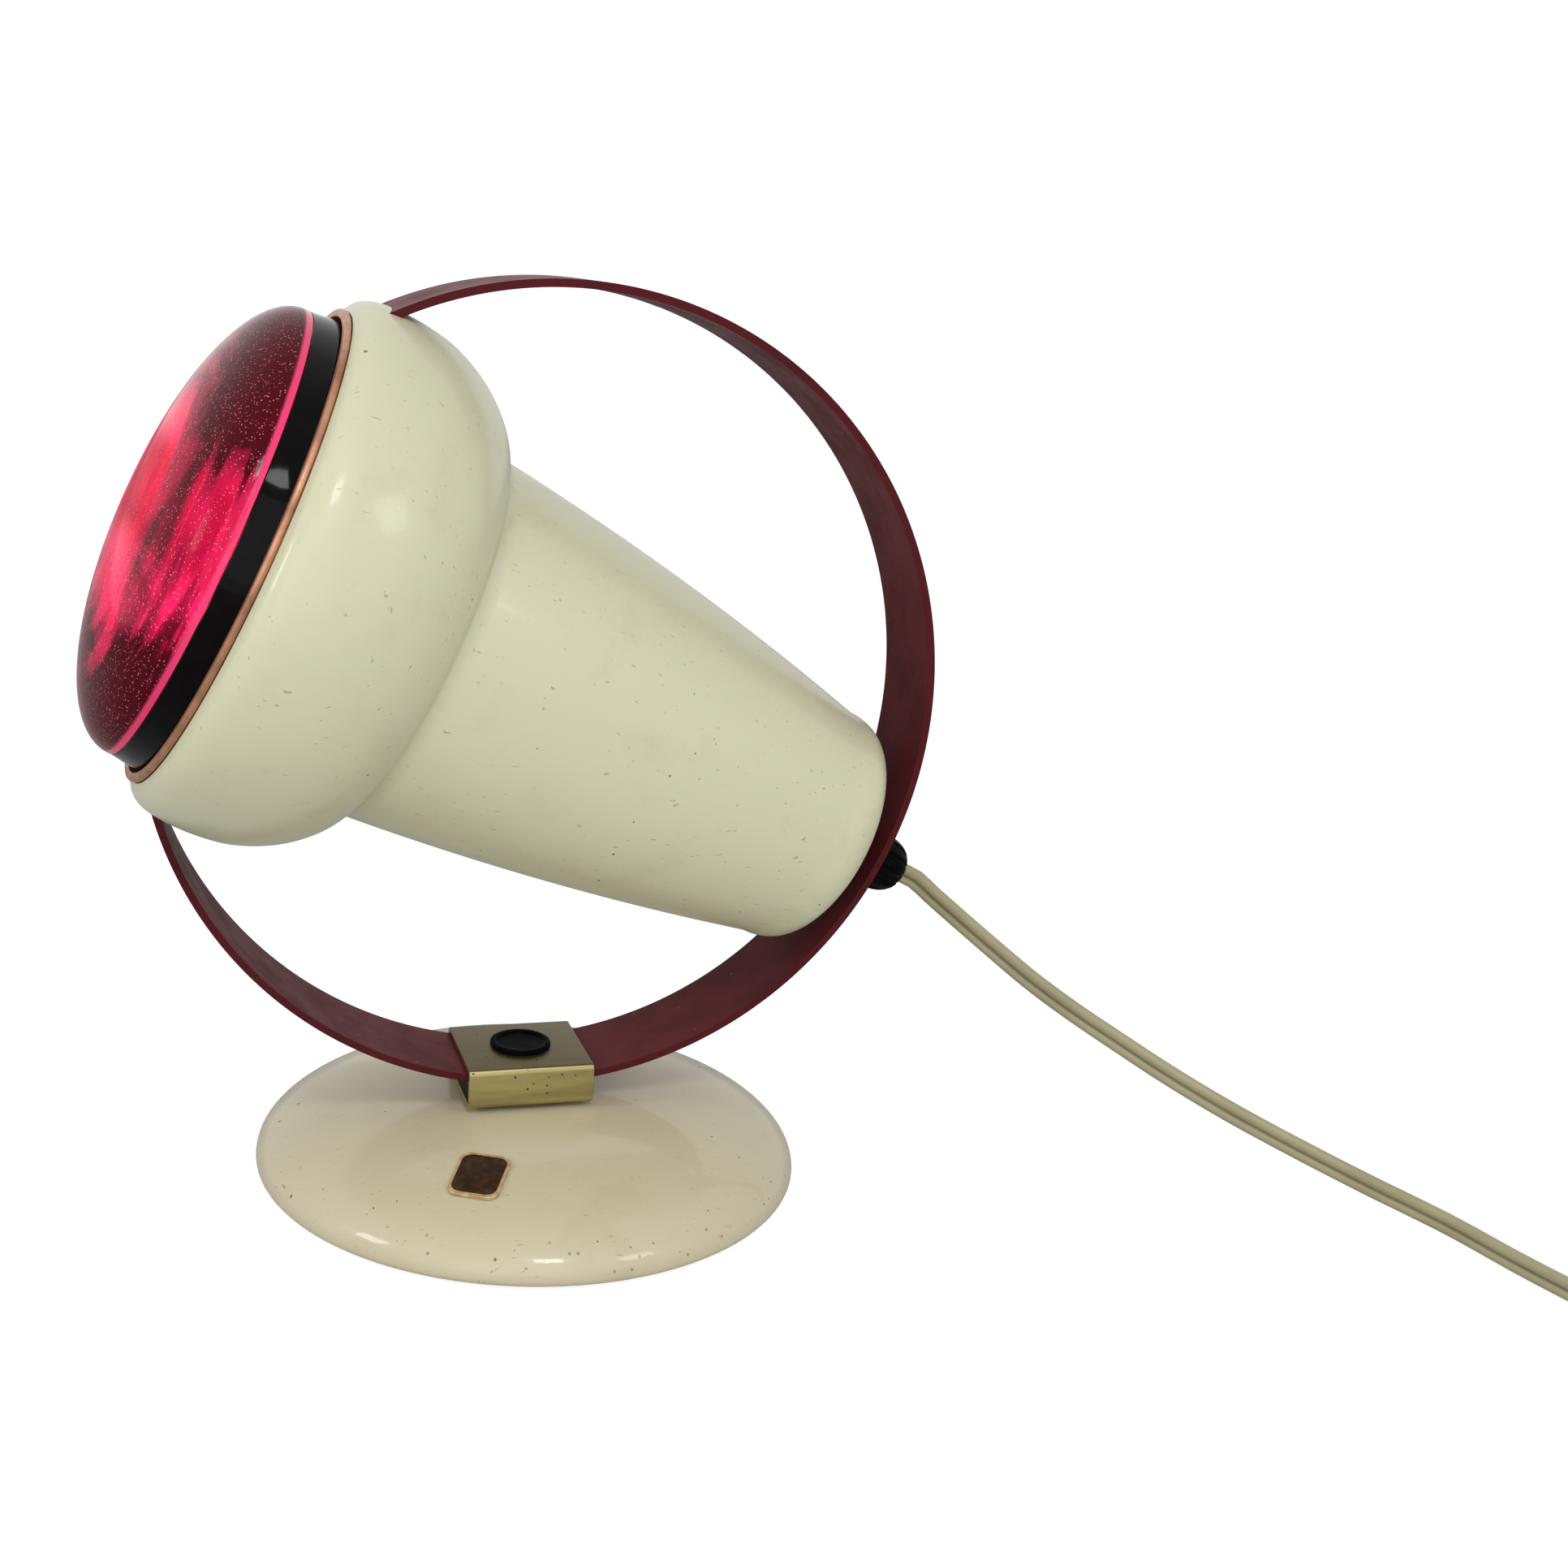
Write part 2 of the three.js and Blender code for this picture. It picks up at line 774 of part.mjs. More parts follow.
// Lamp holder: a ceramic barrel with a terminal room behind and the bulb socket in front
function holderBody() {
  const profile = [
    [outletHole, holderRear],
    [holderRadius, holderRear],
    [holderRadius, holderFront],
    [holderBore, holderFront],
    [holderBore, partitionFront],
    [postRadius + clearance, partitionFront],
    [postRadius + clearance, partitionRear],
    [holderBore, partitionRear],
    [holderBore, roomRear],
    [outletHole, roomRear],
    [outletHole, holderRear],
  ];
  const low = partitionRear - clearance;
  const sideHole = disc(postRadius + clearance, low, partitionFront + clearance, smallSides);
  sideHole.translate(-terminalOffset, 0, 0);
  return geometryOf(solid(turned(profile, 2 * smallSides)).subtract(solid(sideHole)));
}

function socketShell() {
  const outer = socketRadius + contactWall;
  const top = contactRear + contactWall;
  const profile = [
    [outer - contactFlange, contactRear],
    [outer, contactRear],
    [outer, holderFront - contactWall],
    [socketRadius, holderFront - contactWall],
    [socketRadius, top],
    [outer - contactFlange, top],
    [outer - contactFlange, contactRear],
  ];
  return turned(profile, 2 * smallSides);
}

function centreContact() {
  return disc(contactRadius, contactRear, contactRear + contactWall, smallSides);
}

// A terminal block with its post through the holder's partition
function terminal(offset) {
  const half = terminalSide / 2;
  const top = partitionRear - clearance;
  const block = box(offset - half, offset + half, -half, half, top - terminalLength, top);
  const post = disc(postRadius, top - half, contactRear - clearance, smallSides).translate(offset, 0, 0);
  return geometryOf(solid(block).add(solid(post)));
}

function core(side, reach) {
  const start = knobTip + noseWall + clearance;
  const end = partitionRear - clearance - terminalLength - clearance;
  const bendStart = end - coreStraight - coreBend;
  const bendEnd = end - coreStraight;
  const middle = (bendStart + bendEnd) / 2;
  const points = [
    [side, start],
    [side, (start + bendStart) / 2],
    [side, bendStart],
    [(side + reach) / 2, middle],
    [reach, bendEnd],
    [reach, end],
  ].map(([x, z]) => new THREE.Vector3(x, 0, z));
  const section = flatSection(2 * coreRadius, 2 * coreRadius, wireSides);
  return swept(new THREE.CatmullRomCurve3(points, false, "centripetal"), section, 2 * wireSides);
}

// Bulb: ruby front, dark mirrored reflector, screw cap and what is inside
const frontSteps = 9;

function bulbFront() {
  const outside = Array.from({ length: frontSteps + 1 }, (_, i) => {
    const turn = (Math.PI / 2) * (i / frontSteps);
    const radius = frontRadius * Math.max(Math.cos(turn), 0) ** (2 / frontPower);
    return [radius, glassRear + frontHeight * Math.sin(turn) ** (2 / frontPower)];
  });
  outside[frontSteps][0] = 0;
  const inside = offsetProfile(outside, bulbWall).reverse();
  inside[0][0] = 0;
  inside[frontSteps][1] = glassRear;
  return turned([...inside, ...outside]);
}

function bulbReflector() {
  const seat = capRadius - capRidge - capWall - clearance;
  const length = bandFront - capFront;
  const swell = envelopeRadius - neckRadius;
  const outside = [
    [seat, capFront - seatDepth],
    [seat, capFront + clearance],
    ...reflectorShares.map(([along, out]) => [neckRadius + swell * out, capFront + length * along]),
    [frontRadius, bandFront],
  ];
  return turned(sheetProfile(outside, bulbWall));
}

function bulbCap() {
  const root = capRadius - capRidge;
  const pitch = (capLength - 2 * capShoulder) / capRidges;
  const thread = [];
  for (let i = 0; i < capRidges; i++) {
    const low = capRear + capShoulder + pitch * i;
    thread.push([root, low], [capRadius, low + pitch / 2]);
  }
  const outside = [
    [capEye, capRear],
    ...thread,
    [root, capFront - capShoulder],
    [root, capFront],
  ];
  return turned(sheetProfile(outside, capWall), 2 * smallSides);
}

function bulbInsulator() {
  const low = bulbTip + tipHeight + clearance;
  return disc(capEye - capWall, low, capRear + insulatorHeight, smallSides);
}

function bulbContact() {
  return disc(tipRadius, bulbTip, bulbTip + tipHeight, smallSides);
}

function glassPress() {
  const inner = capRadius - capRidge - capWall - clearance - bulbWall - clearance;
  const low = capFront - seatDepth;
  return turned(
    [
      [0, low],
      [inner, low],
      [inner, low + pressFlare],
      [pressRadius, low + 2 * pressFlare],
      [pressRadius, low + pressLength],
      [0, low + pressLength],
    ],
    smallSides,
  );
}

const pressEnd = capFront - seatDepth + pressLength;
const filamentStation = pressEnd + filamentRise;
const filamentEnds = [filamentGap / 2, -filamentGap / 2, Math.PI];

function filamentSupport(turn) {
  const spread = new THREE.Vector3(Math.cos(turn), Math.sin(turn), 0);
  const from = spread.clone().multiplyScalar(supportSpread).setZ(pressEnd + clearance + supportRadius);
  const reach = filamentStation - filamentWire - clearance - supportRadius / 2;
  const to = spread.clone().multiplyScalar(filamentRadius).setZ(reach);
  return rod(from, to, supportRadius);
}

const filamentSteps = 14;

function filament() {
  const points = Array.from({ length: filamentSteps + 1 }, (_, i) => {
    const turn = filamentGap / 2 + (2 * Math.PI - filamentGap) * (i / filamentSteps);
    return new THREE.Vector3(Math.cos(turn), Math.sin(turn), 0)
      .multiplyScalar(filamentRadius)
      .setZ(filamentStation);
  });
  const section = flatSection(2 * filamentWire, 2 * filamentWire, wireSides);
  return swept(new THREE.CatmullRomCurve3(points), section, filamentSteps);
}

// Lead: free stretch from the outlet to the coil, the coil, and the run into the plug
function outletPoint(distance) {
  const reach = -knobTip + clearance + distance;
  return new THREE.Vector3(reach * Math.cos(headTilt), 0, hoopCentre - reach * Math.sin(headTilt));
}

const coilCurve = new FlatCoil();

function leadFree() {
  const coilFace = coilCurve.getPoint(0).addScaledVector(coilHeading, -clearance);
  const points = [
    outletPoint(0),
    outletPoint(leadWidth),
    ...leadRoute.map(([x, y, z]) => new THREE.Vector3(x, y, z)),
    coilFace.clone().addScaledVector(coilHeading, -leadWidth),
    coilFace,
  ];
  const lean = (share) => leadTwist * (1 - THREE.MathUtils.smoothstep(share, 0, twistShare));
  const section = flatSection(leadWidth, leadThickness, wireSides);
  return swept(new FlatLead(points, lean), section, 2 * points.length);
}

function leadCoil() {
  const steps = coilStepsPerTurn * coilTurns + endSteps;
  return swept(coilCurve, flatSection(leadWidth, leadThickness, coilSides), steps);
}

// Least distance between turns that are not neighbours along the lead, less the lead's own size
function coilSelfGap() {
  const count = coilStepsPerTurn * coilTurns * 2;
  const points = coilCurve.getSpacedPoints(count);
  let least = Infinity;
  points.forEach((a, i) =>
    points.slice(i + coilStepsPerTurn).forEach((b) => {
      const flat = Math.hypot(a.x - b.x, a.y - b.y) - leadThickness;
      const high = Math.abs(a.z - b.z) - leadWidth;
      least = Math.min(least, Math.max(flat, high));
    }),
  );
  return least;
}

const leaving = (distance, height) =>
  coilMiddle
    .clone()
    .addScaledVector(coilSpoke, coilOuter)
    .addScaledVector(coilHeading, leadWidth + distance)
    .setZ(height);

function leadTail() {
  const points = [
    leaving(clearance, highLayer),
    leaving(clearance + leadWidth, highLayer),
    ...tailRoute.map(([distance, height]) => leaving(distance, height)),
    leaving(tailReach - leadWidth, plugAxis),
    leaving(tailReach, plugAxis),
  ];
  const section = flatSection(leadWidth, leadThickness, wireSides);
  return swept(new FlatLead(points), section, 2 * points.length);
}

function coilTie() {
  const outward = coilOuter + leadThickness / 2 + clearance;
  const inward = coilInner - leadThickness / 2 - clearance;
  const top = highLayer + leadWidth / 2 + clearance;
  const halfWidth = tieWidth / 2;
  const outside = box(inward - tieSheet, outward + tieSheet, -halfWidth, halfWidth, 0, top + tieSheet);
  const hollow = box(inward, outward, -tieWidth, tieWidth, tieSheet, top);
  const strap = geometryOf(solid(outside).subtract(solid(hollow)));
  return strap.rotateZ(tieTurn).translate(coilX, coilY, 0);
}

// Plug group: its own +Z runs along the leaving line, its +Y is the table's up
function plugBody() {
  const half = plugWidth / 2;
  const neck = plugNeck / 2;
  const low = reliefLength + clearance;
  const outline = [
    [-neck, low],
    [neck, low],
    [half, low + (half - neck)],
    [half, low + plugLength],
    [-half, low + plugLength],
    [-half, low + (half - neck)],
  ];
  const body = new THREE.ExtrudeGeometry(polygon(outline), {
    depth: plugHeight - 2 * plugBevel,
    bevelThickness: plugBevel,
    bevelSize: plugBevel,
    bevelOffset: -plugBevel,
    bevelSegments: bevelSteps,
  }).translate(0, 0, plugBevel - plugHeight / 2);
  body.rotateX(Math.PI / 2);
  const face = low + plugLength;
  let result = solid(body);
  for (const side of [-1, 1]) {
    const low = face - pinSeat - clearance;
    const hole = disc(pinRadius + clearance, low, face + overrun, smallSides);
    result = result.subtract(solid(hole.translate((side * pinSpacing) / 2, 0, 0)));
  }
  return geometryOf(result);
}

function plugRelief() {
  return turned(
    [
      [0, clearance],
      [reliefEnd, clearance],
      [reliefRadius, reliefLength],
      [0, reliefLength],
    ],
    smallSides,
  );
}

function plugPin(side) {
  const face = reliefLength + clearance + plugLength;
  const pin = disc(pinRadius, face - pinSeat, face + pinLength, smallSides);
  return pin.translate((side * pinSpacing) / 2, 0, 0);
}

function spacerTube() {
  const top = domeTop - baseWall - clearance;
  return ring(boltHole, boltHole + spacerWall, plateTop + clearance, top, smallSides);
}

function lockWasher() {
  const top = lockWasherBottom + lockWasherThickness;
  return ring(boltHole, lockWasherRadius, lockWasherBottom, top, smallSides);
}

function glideWasher() {
  return ring(boltHole, glideRadius, glideBottom, glideTop, smallSides);
}

function nipple() {
  return ring(nippleBore, nippleRadius, nippleBack, nippleFront, smallSides);
}

function backNut() {
  return hexagon(backNutFlats, outletHole, backNutRear, backNutRear + backNutHeight);
}

// Assembly
const base = new THREE.Group();
base.add(
  named("base_shell", baseShell(), cream),
  named("base_plate", basePlate(), castIron),
  named("foot_pad", footPad(), felt),
  named("pivot_screw", pivotScrew(), steel),
  named("spacer_tube", spacerTube(), steel),
  named("glide_washer", glideWasher(), nylon),
  named("lock_washer", lockWasher(), steel),
  named("pivot_nut", hexagon(nutFlats, boltHole, nutBottom, nutBottom + nutHeight), steel),
  named("blank_badge", blankBadge(), plateBrown),
);

const saddle = new THREE.Group();
saddle.add(
  named("saddle", saddleBody(), bronze),
  named("shoe_left", saddleShoe(-saddleReachLeft + clearance), nylon),
  named("shoe_right", saddleShoe(saddleReachRight - clearance - shoeLength), nylon),
  named("brake_button", brakeButton(), darkRubber),
  named("lead_free", leadFree(), leadPlastic),
  named("lead_coil", leadCoil(), leadPlastic),
  named("lead_tail", leadTail(), leadPlastic),
  named("coil_tie", coilTie(), blackPlastic),
);

const plug = new THREE.Group();
plug.position.copy(leaving(tailReach, plugAxis));
plug.quaternion.setFromRotationMatrix(
  new THREE.Matrix4().makeBasis(
    new THREE.Vector3(0, 0, 1).cross(coilHeading),
    new THREE.Vector3(0, 0, 1),
    coilHeading,
  ),
);
plug.add(
  named("plug_relief", plugRelief(), blackPlastic),
  named("plug_body", plugBody(), blackPlastic),
  named("plug_pin_a", plugPin(-1), brass),
  named("plug_pin_b", plugPin(1), brass),
);
saddle.add(plug);

const head = new THREE.Group();
head.position.z = hoopCentre;
head.rotation.y = headTilt - Math.PI / 2;
head.add(
  named("hoop", hoop(), burgundy),
  named("shade", shade(), cream),
  named("lip_liner", lipLiner(), copper),
  named("collar", collar(), blackPlastic),
  named("outlet_knob", outletKnob(), blackPlastic),
  named("nipple", nipple(), steel),
  named("back_nut", backNut(), steel),
  named("holder_body", holderBody(), ceramic),
  named("socket_shell", socketShell(), brass),
  named("centre_contact", centreContact(), brass),
  named("terminal_live", terminal(0), brass),
  named("terminal_return", terminal(-terminalOffset), brass),
  named("core_live", core(coreOffset, coreOffset), leadPlastic),
  named("core_return", core(-coreOffset, -terminalOffset), leadPlastic),
  named("bulb_front", bulbFront(), ruby),
  named("bulb_reflector", bulbReflector(), mirrorBlack),
  named("bulb_cap", bulbCap(), brass),
  named("bulb_insulator", bulbInsulator(), blackPlastic),
  named("bulb_contact", bulbContact(), brass),
  named("bulb_press", glassPress(), clearGlass),
  named("support_a", filamentSupport(filamentEnds[0]), tungsten),
  named("support_b", filamentSupport(filamentEnds[1]), tungsten),
  named("support_c", filamentSupport(filamentEnds[2]), tungsten),
  named("filament", filament(), tungsten),
);

const lamp = new THREE.Group();
lamp.add(base, saddle, head);
console.log("least gap between the coil's turns: " + coilSelfGap().toFixed(2) + " mm");

export default lamp;
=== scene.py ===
# %% [markdown]
# # A table-top infrared lamp
# The lamp stands on a pale table: a cream dome base, an olive-gold saddle, a burgundy hoop and a
# cream shade with a ruby bulb. The scene is in metres, +Z is up and the origin is under the base.
# A named size is in millimetres, unless it is written with "* mm", which turns it into metres.

import math

import bmesh
import bpy
from mathutils import Matrix, Vector


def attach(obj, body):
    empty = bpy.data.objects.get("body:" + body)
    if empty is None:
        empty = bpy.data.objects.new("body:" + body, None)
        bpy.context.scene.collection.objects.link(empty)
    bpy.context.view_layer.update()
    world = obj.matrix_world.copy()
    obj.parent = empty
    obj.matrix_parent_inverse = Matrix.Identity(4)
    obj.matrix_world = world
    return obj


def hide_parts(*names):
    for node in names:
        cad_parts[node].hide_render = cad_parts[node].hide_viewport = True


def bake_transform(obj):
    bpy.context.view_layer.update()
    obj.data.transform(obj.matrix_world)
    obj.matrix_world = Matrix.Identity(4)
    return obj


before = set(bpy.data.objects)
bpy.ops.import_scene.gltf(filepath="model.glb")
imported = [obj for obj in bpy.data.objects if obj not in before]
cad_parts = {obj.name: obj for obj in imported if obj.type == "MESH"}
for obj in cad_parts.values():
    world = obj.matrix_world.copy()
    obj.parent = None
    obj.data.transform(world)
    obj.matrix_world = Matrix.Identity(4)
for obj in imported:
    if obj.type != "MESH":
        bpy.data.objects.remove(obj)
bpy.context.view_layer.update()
mm = 0.001

# %% [markdown]
# ## The camera
# It stands in front of the lamp and a little above it, turned slightly to the right and rolled by
# a few degrees. A camera could be aimed at a target instead. This one was solved together with the
# lamp's outlines, so its place and angles are given, and the picture's middle is shifted.


# %% Camera
def camera_axes(yaw, pitch, roll):
    forward = Vector(
        (math.sin(yaw) * math.cos(pitch), math.cos(yaw) * math.cos(pitch), -math.sin(pitch))
    )
    right = Vector((math.cos(yaw), -math.sin(yaw), 0))
    down = forward.cross(right)
    level_right = math.cos(roll) * right + math.sin(roll) * down
    level_down = math.cos(roll) * down - math.sin(roll) * right
    return level_right, level_down, forward


camera_place = Vector((-114.9, -492.3, 253.85)) * mm
yaw, pitch, roll = 0.27616, 0.35955, -0.05458
right, down, forward = camera_axes(yaw, pitch, roll)
camera_data = bpy.data.cameras.new("camera")
camera_data.sensor_width, camera_data.lens = 36, 43.8
camera_data.shift_x, camera_data.shift_y = 0.1066, 0.1108
camera_data.clip_start, camera_data.clip_end = 0.01, 20
camera = bpy.data.objects.new("camera", camera_data)
camera_turn = Matrix((right, -down, -forward)).transposed().to_4x4()
camera.matrix_world = Matrix.Translation(camera_place) @ camera_turn
bpy.context.scene.collection.objects.link(camera)
bpy.context.scene.camera = camera
print("camera at", [round(x, 3) for x in camera.location])

# %% [markdown]
# ## Places that several pieces share
# The head is the hoop with the shade, bulb and knob, and it turns about the hoop's centre. Each of
# its pieces is made upright and one matrix lays them all in place. Its own Z axis runs from the
# tail to the bulb, and places along it are heights, in millimetres from that centre.

# %% Frames
hoop_centre = Vector((0, 0, 137.4)) * mm
head_tilt = math.radians(25.8)
head = Matrix.Translation(hoop_centre) @ Matrix.Rotation(head_tilt - math.pi / 2, 4, "Y")
head_axis = head.to_3x3() @ Vector((0, 0, 1))
head_up = head.to_3x3() @ Vector((1, 0, 0))
knob_tip = -120.4
print("head axis", [round(x, 3) for x in head_axis])

# %% [markdown]
# ## The lead
# The flat twin lead leaves the knob, hangs down to the table, lies in a coil of two layers and
# runs on to the plug. A curve with a bevel would be round and could twist as it likes, so a
# section of two cores is carried along a line. The line comes first: listed points, with a
# formula for the coil.


# %% Lead route
def eased(x):
    """Rises smoothly from 0 at 0 to 1 at 1."""
    x = min(max(x, 0), 1)
    return x * x * (3 - 2 * x)


def curve_through(points, step):
    """Centripetal curve through the points, as a list of places about one step apart."""
    ends = [2 * points[0] - points[1], *points, 2 * points[-1] - points[-2]]
    found = []
    for before, start, end, after in zip(ends, ends[1:], ends[2:], ends[3:]):
        pairs = (before, start), (start, end), (end, after)
        spans = [math.sqrt((b - a).length) for a, b in pairs]
        leave = (start - before) / spans[0] - (end - before) / (spans[0] + spans[1])
        leave = (leave + (end - start) / spans[1]) * spans[1]
        reach = (end - start) / spans[1] - (after - start) / (spans[1] + spans[2])
        reach = (reach + (after - end) / spans[2]) * spans[1]
        count = max(1, round((end - start).length / step))
        for i in range(count):
            t = i / count
            found.append(
                start * (2 * t**3 - 3 * t**2 + 1)
                + leave * (t**3 - 2 * t**2 + t)
                + end * (3 * t**2 - 2 * t**3)
                + reach * (t**3 - t**2)
            )
    return found + [points[-1]]


def outlet(distance):
    """A place behind the knob's tip, given in millimetres, on the head's axis."""
    return head @ Vector((0, 0, (knob_tip - distance) * mm))


lead_width = 6.4 * mm
lead_thickness = 3.2 * mm
lead_inside_knob = 1
lead_straight = 6.7
lead_step = 3.5 * mm
coil_middle = Vector((310, -148, 0)) * mm
coil_start = math.radians(196)
coil_spoke = Vector((math.cos(coil_start), math.sin(coil_start), 0))
coil_heading = Vector((-math.sin(coil_start), math.cos(coil_start), 0))
coil_outer = 44 * mm
coil_inner = 30.2 * mm
coil_turns = 6
climb_turns = 0.21
low_layer = 4.2 * mm
high_layer = 11.2 * mm
plug_axis = 6.8 * mm
tail_reach = 40 * mm


def coil_point(share):
    """The coil winds in on the lower layer, climbs, and winds out on the upper one."""
    radius = coil_inner + (coil_outer - coil_inner) * abs(2 * share - 1)
    climb = (share - 0.5) * coil_turns / climb_turns + 0.5
    height = low_layer + (high_layer - low_layer) * eased(climb)
    angle = coil_start + 2 * math.pi * coil_turns * share
    return coil_middle + Vector((math.cos(angle) * radius, math.sin(angle) * radius, height))


def leaving(distance, height):
    """A place on the straight line by which the lead leaves the coil."""
    place = coil_middle + coil_spoke * coil_outer + coil_heading * (lead_width + distance)
    return Vector((place.x, place.y, height))


hanging_points = [
    (119.9, -1.4, 77.4),
    (126.2, -3, 72.2),
    (138.5, -6.7, 62.2),
    (150.4, -11.3, 52.8),
    (161.8, -16.7, 44.9),
    (175.9, -24.7, 36.2),
    (188.3, -32.9, 28.9),
    (202.8, -44, 21.4),
    (216.3, -55.7, 15.5),
    (232.9, -72.2, 9.2),
    (247.5, -91.5, 4.9),
    (254.9, -113, 3.5),
    (259.4, -131.3, 3.8),
]
free_points = [
    outlet(-lead_inside_knob),
    outlet(lead_straight),
    *(Vector(point) * mm for point in hanging_points),
    coil_point(0) - coil_heading * lead_width * 2,
]
tail_points = [
    leaving(0, high_layer),
    leaving(lead_width, high_layer),
    leaving(13 * mm, 10.3 * mm),
    leaving(26 * mm, 7.8 * mm),
    leaving(tail_reach - lead_width, plug_axis),
    leaving(tail_reach + 2 * mm, plug_axis),
]
free_line = curve_through(free_points, lead_step)
coil_count = round(math.pi * (coil_outer + coil_inner) * coil_turns / lead_step)
coil_line = [coil_point(i / coil_count) for i in range(coil_count + 1)]
tail_line = curve_through(tail_points, lead_step)
lead_line = free_line + coil_line + tail_line
lead_length = sum((b - a).length for a, b in zip(lead_line, lead_line[1:]))
print("lead", len(lead_line), "rings,", round(lead_length, 3), "m")


# %% Mesh tools
def new_object(name, bm, transform=None, smooth=40):
    """An edge stays sharp where its faces turn by more than smooth, in degrees."""
    bmesh.ops.recalc_face_normals(bm, faces=bm.faces[:])
    if transform:
        bm.transform(transform)
    mesh = bpy.data.meshes.new(name)
    bm.to_mesh(mesh)
    bm.free()
    for face in mesh.polygons:
        face.use_smooth = True
    mesh.set_sharp_from_angle(angle=math.radians(smooth))
    made = bpy.data.objects.new(name, mesh)
    bpy.context.scene.collection.objects.link(made)
    return made


def bridged(bm, loops):
    """Fills the gap between each loop and the next with faces, and returns them in order."""
    faces = []
    for a, b in zip(loops, loops[1:]):
        for i in range(len(a)):
            j = (i + 1) % len(a)
            faces.append(bm.faces.new((a[i], a[j], b[j], b[i])))
    return faces


def rounded_edges(bm, edges, radius, segments=3):
    bmesh.ops.bevel(
        bm,
        geom=edges,
        offset=radius * mm,
        segments=segments,
        profile=0.5,
        affect="EDGES",
        material=-1,
    )


print("mesh tools ready")


# %% Lead mesh
def twin_section(sides=10):
    """Outline of two round cores side by side, joined where they touch."""
    core = lead_thickness / 2
    apart = lead_width / 2 - core
    opening = math.radians(38)
    points = []
    for side in (1, -1):
        for i in range(sides):
            angle = -math.pi + opening + (2 * math.pi - 2 * opening) * i / (sides - 1)
            points.append((side * (apart + core * math.cos(angle)), side * core * math.sin(angle)))
    return points


def sweep(line, section, lean):
    """Carries a section along a line, turned about it by lean. The groove between the cores is
    kept as a value at each corner, for the shade painted along the groove."""
    groove_reach = 0.45 * lead_thickness
    bm = bmesh.new()
    groove = bm.verts.layers.float.new("groove")
    rings = []
    for i, place in enumerate(line):
        along = (line[min(i + 1, len(line) - 1)] - line[max(i - 1, 0)]).normalized()
        up = (Vector((0, 0, 1)) - along * along.z).normalized()
        up.rotate(Matrix.Rotation(lean(i), 3, along))
        side = along.cross(up)
        rings.append([bm.verts.new(place + up * x + side * y) for x, y in section])
    for ring in rings:
        for vert, (x, _) in zip(ring, section):
            vert[groove] = max(0, 1 - abs(x) / groove_reach)
    bridged(bm, rings)
    bm.faces.new(rings[0][::-1])
    bm.faces.new(rings[-1])
    return bm


exit_lean = math.radians(24)
twist_share = 0.45
twist_end = len(free_line) * twist_share


def lead_lean(i):
    """The lead leaves the knob leaning, and lies flat from the middle of its way down."""
    return exit_lean * (1 - eased(i / twist_end))


lead = new_object("lead", sweep(lead_line, twin_section(), lead_lean), smooth=50)
print("lead faces", len(lead.data.polygons))


# %% [markdown]
# ## Turned pieces
# Most of the real lamp is spun or turned, so it is made the same way here: a profile of radius and
# height is spun round an axis. A Screw modifier would do as well, but the operator leaves a
# finished mesh with its seam closed.


# %% Spinning
def spun(name, profile, transform=None, steps=128, closed=False, smooth=40):
    """Spins [radius, height] points, given in millimetres, round the Z axis."""
    bm = bmesh.new()
    line = [bm.verts.new((radius * mm, 0, height * mm)) for radius, height in profile]
    edges = [bm.edges.new(pair) for pair in zip(line, line[1:])]
    if closed:
        edges.append(bm.edges.new((line[-1], line[0])))
    bmesh.ops.spin(
        bm,
        geom=line + edges,
        cent=(0, 0, 0),
        axis=(0, 0, 1),
        angle=2 * math.pi,
        steps=steps,
        use_merge=True,
    )
    bmesh.ops.remove_doubles(bm, verts=bm.verts[:], dist=1e-6)
    return new_object(name, bm, transform, smooth)


def shifted(points, distance):
    """Moves a profile to its left by a distance."""
    spans = zip(points, points[1:])
    normals = [Vector((a[1] - b[1], b[0] - a[0])).normalized() for a, b in spans]
    moved = []
    for i, (radius, height) in enumerate(points):
        before = normals[max(i - 1, 0)]
        after = normals[min(i, len(normals) - 1)]
        mitre = (before + after) / (1 + before.dot(after))
        moved.append((radius + mitre.x * distance, height + mitre.y * distance))
    return moved


def sheet(points, wall):
    """The profile, and back along it one wall away."""
    return list(points) + shifted(points, wall)[::-1]


def smooth_line(points, count):
    """A smooth profile through the points, in about count steps."""
    corners = [Vector((x, y, 0)) for x, y in points]
    total = sum((b - a).length for a, b in zip(corners, corners[1:]))
    return [(place.x, place.y) for place in curve_through(corners, total / count)]


print("spinning tools ready")

# %% [markdown]
# ## The base
# A spun sheet dome with a rolled edge, a small flat seat under the saddle, and a blank dark plate.
# The dome is a quarter of an ellipse. Its inside is the same profile moved in by the sheet's wall,
# as on pressed sheet. The plate is bent with the dome, so its rings are laid at the dome's height.


# %% Base
seat_radius = 13
dome_spread = 65
dome_foot = 3.5
dome_rise = 19.3
curl_radius = 2.5
curl_middle = seat_radius + dome_spread - curl_radius
rolled_edge = (73.5, 1)
screw_hole = 2.8
sheet_wall = 1


def quarter_turn(middle, foot, spread, rise, start, steps):
    """A quarter of an ellipse about [middle, foot], from an angle on, as radius and height."""
    angles = [start + math.pi / 2 * i / steps for i in range(steps + 1)]
    return [(middle + spread * math.cos(a), foot + rise * math.sin(a)) for a in angles]


def dome_height(radius):
    out = max(radius - seat_radius, 0) / dome_spread
    return dome_foot + dome_rise * math.sqrt(max(0, 1 - out**2))


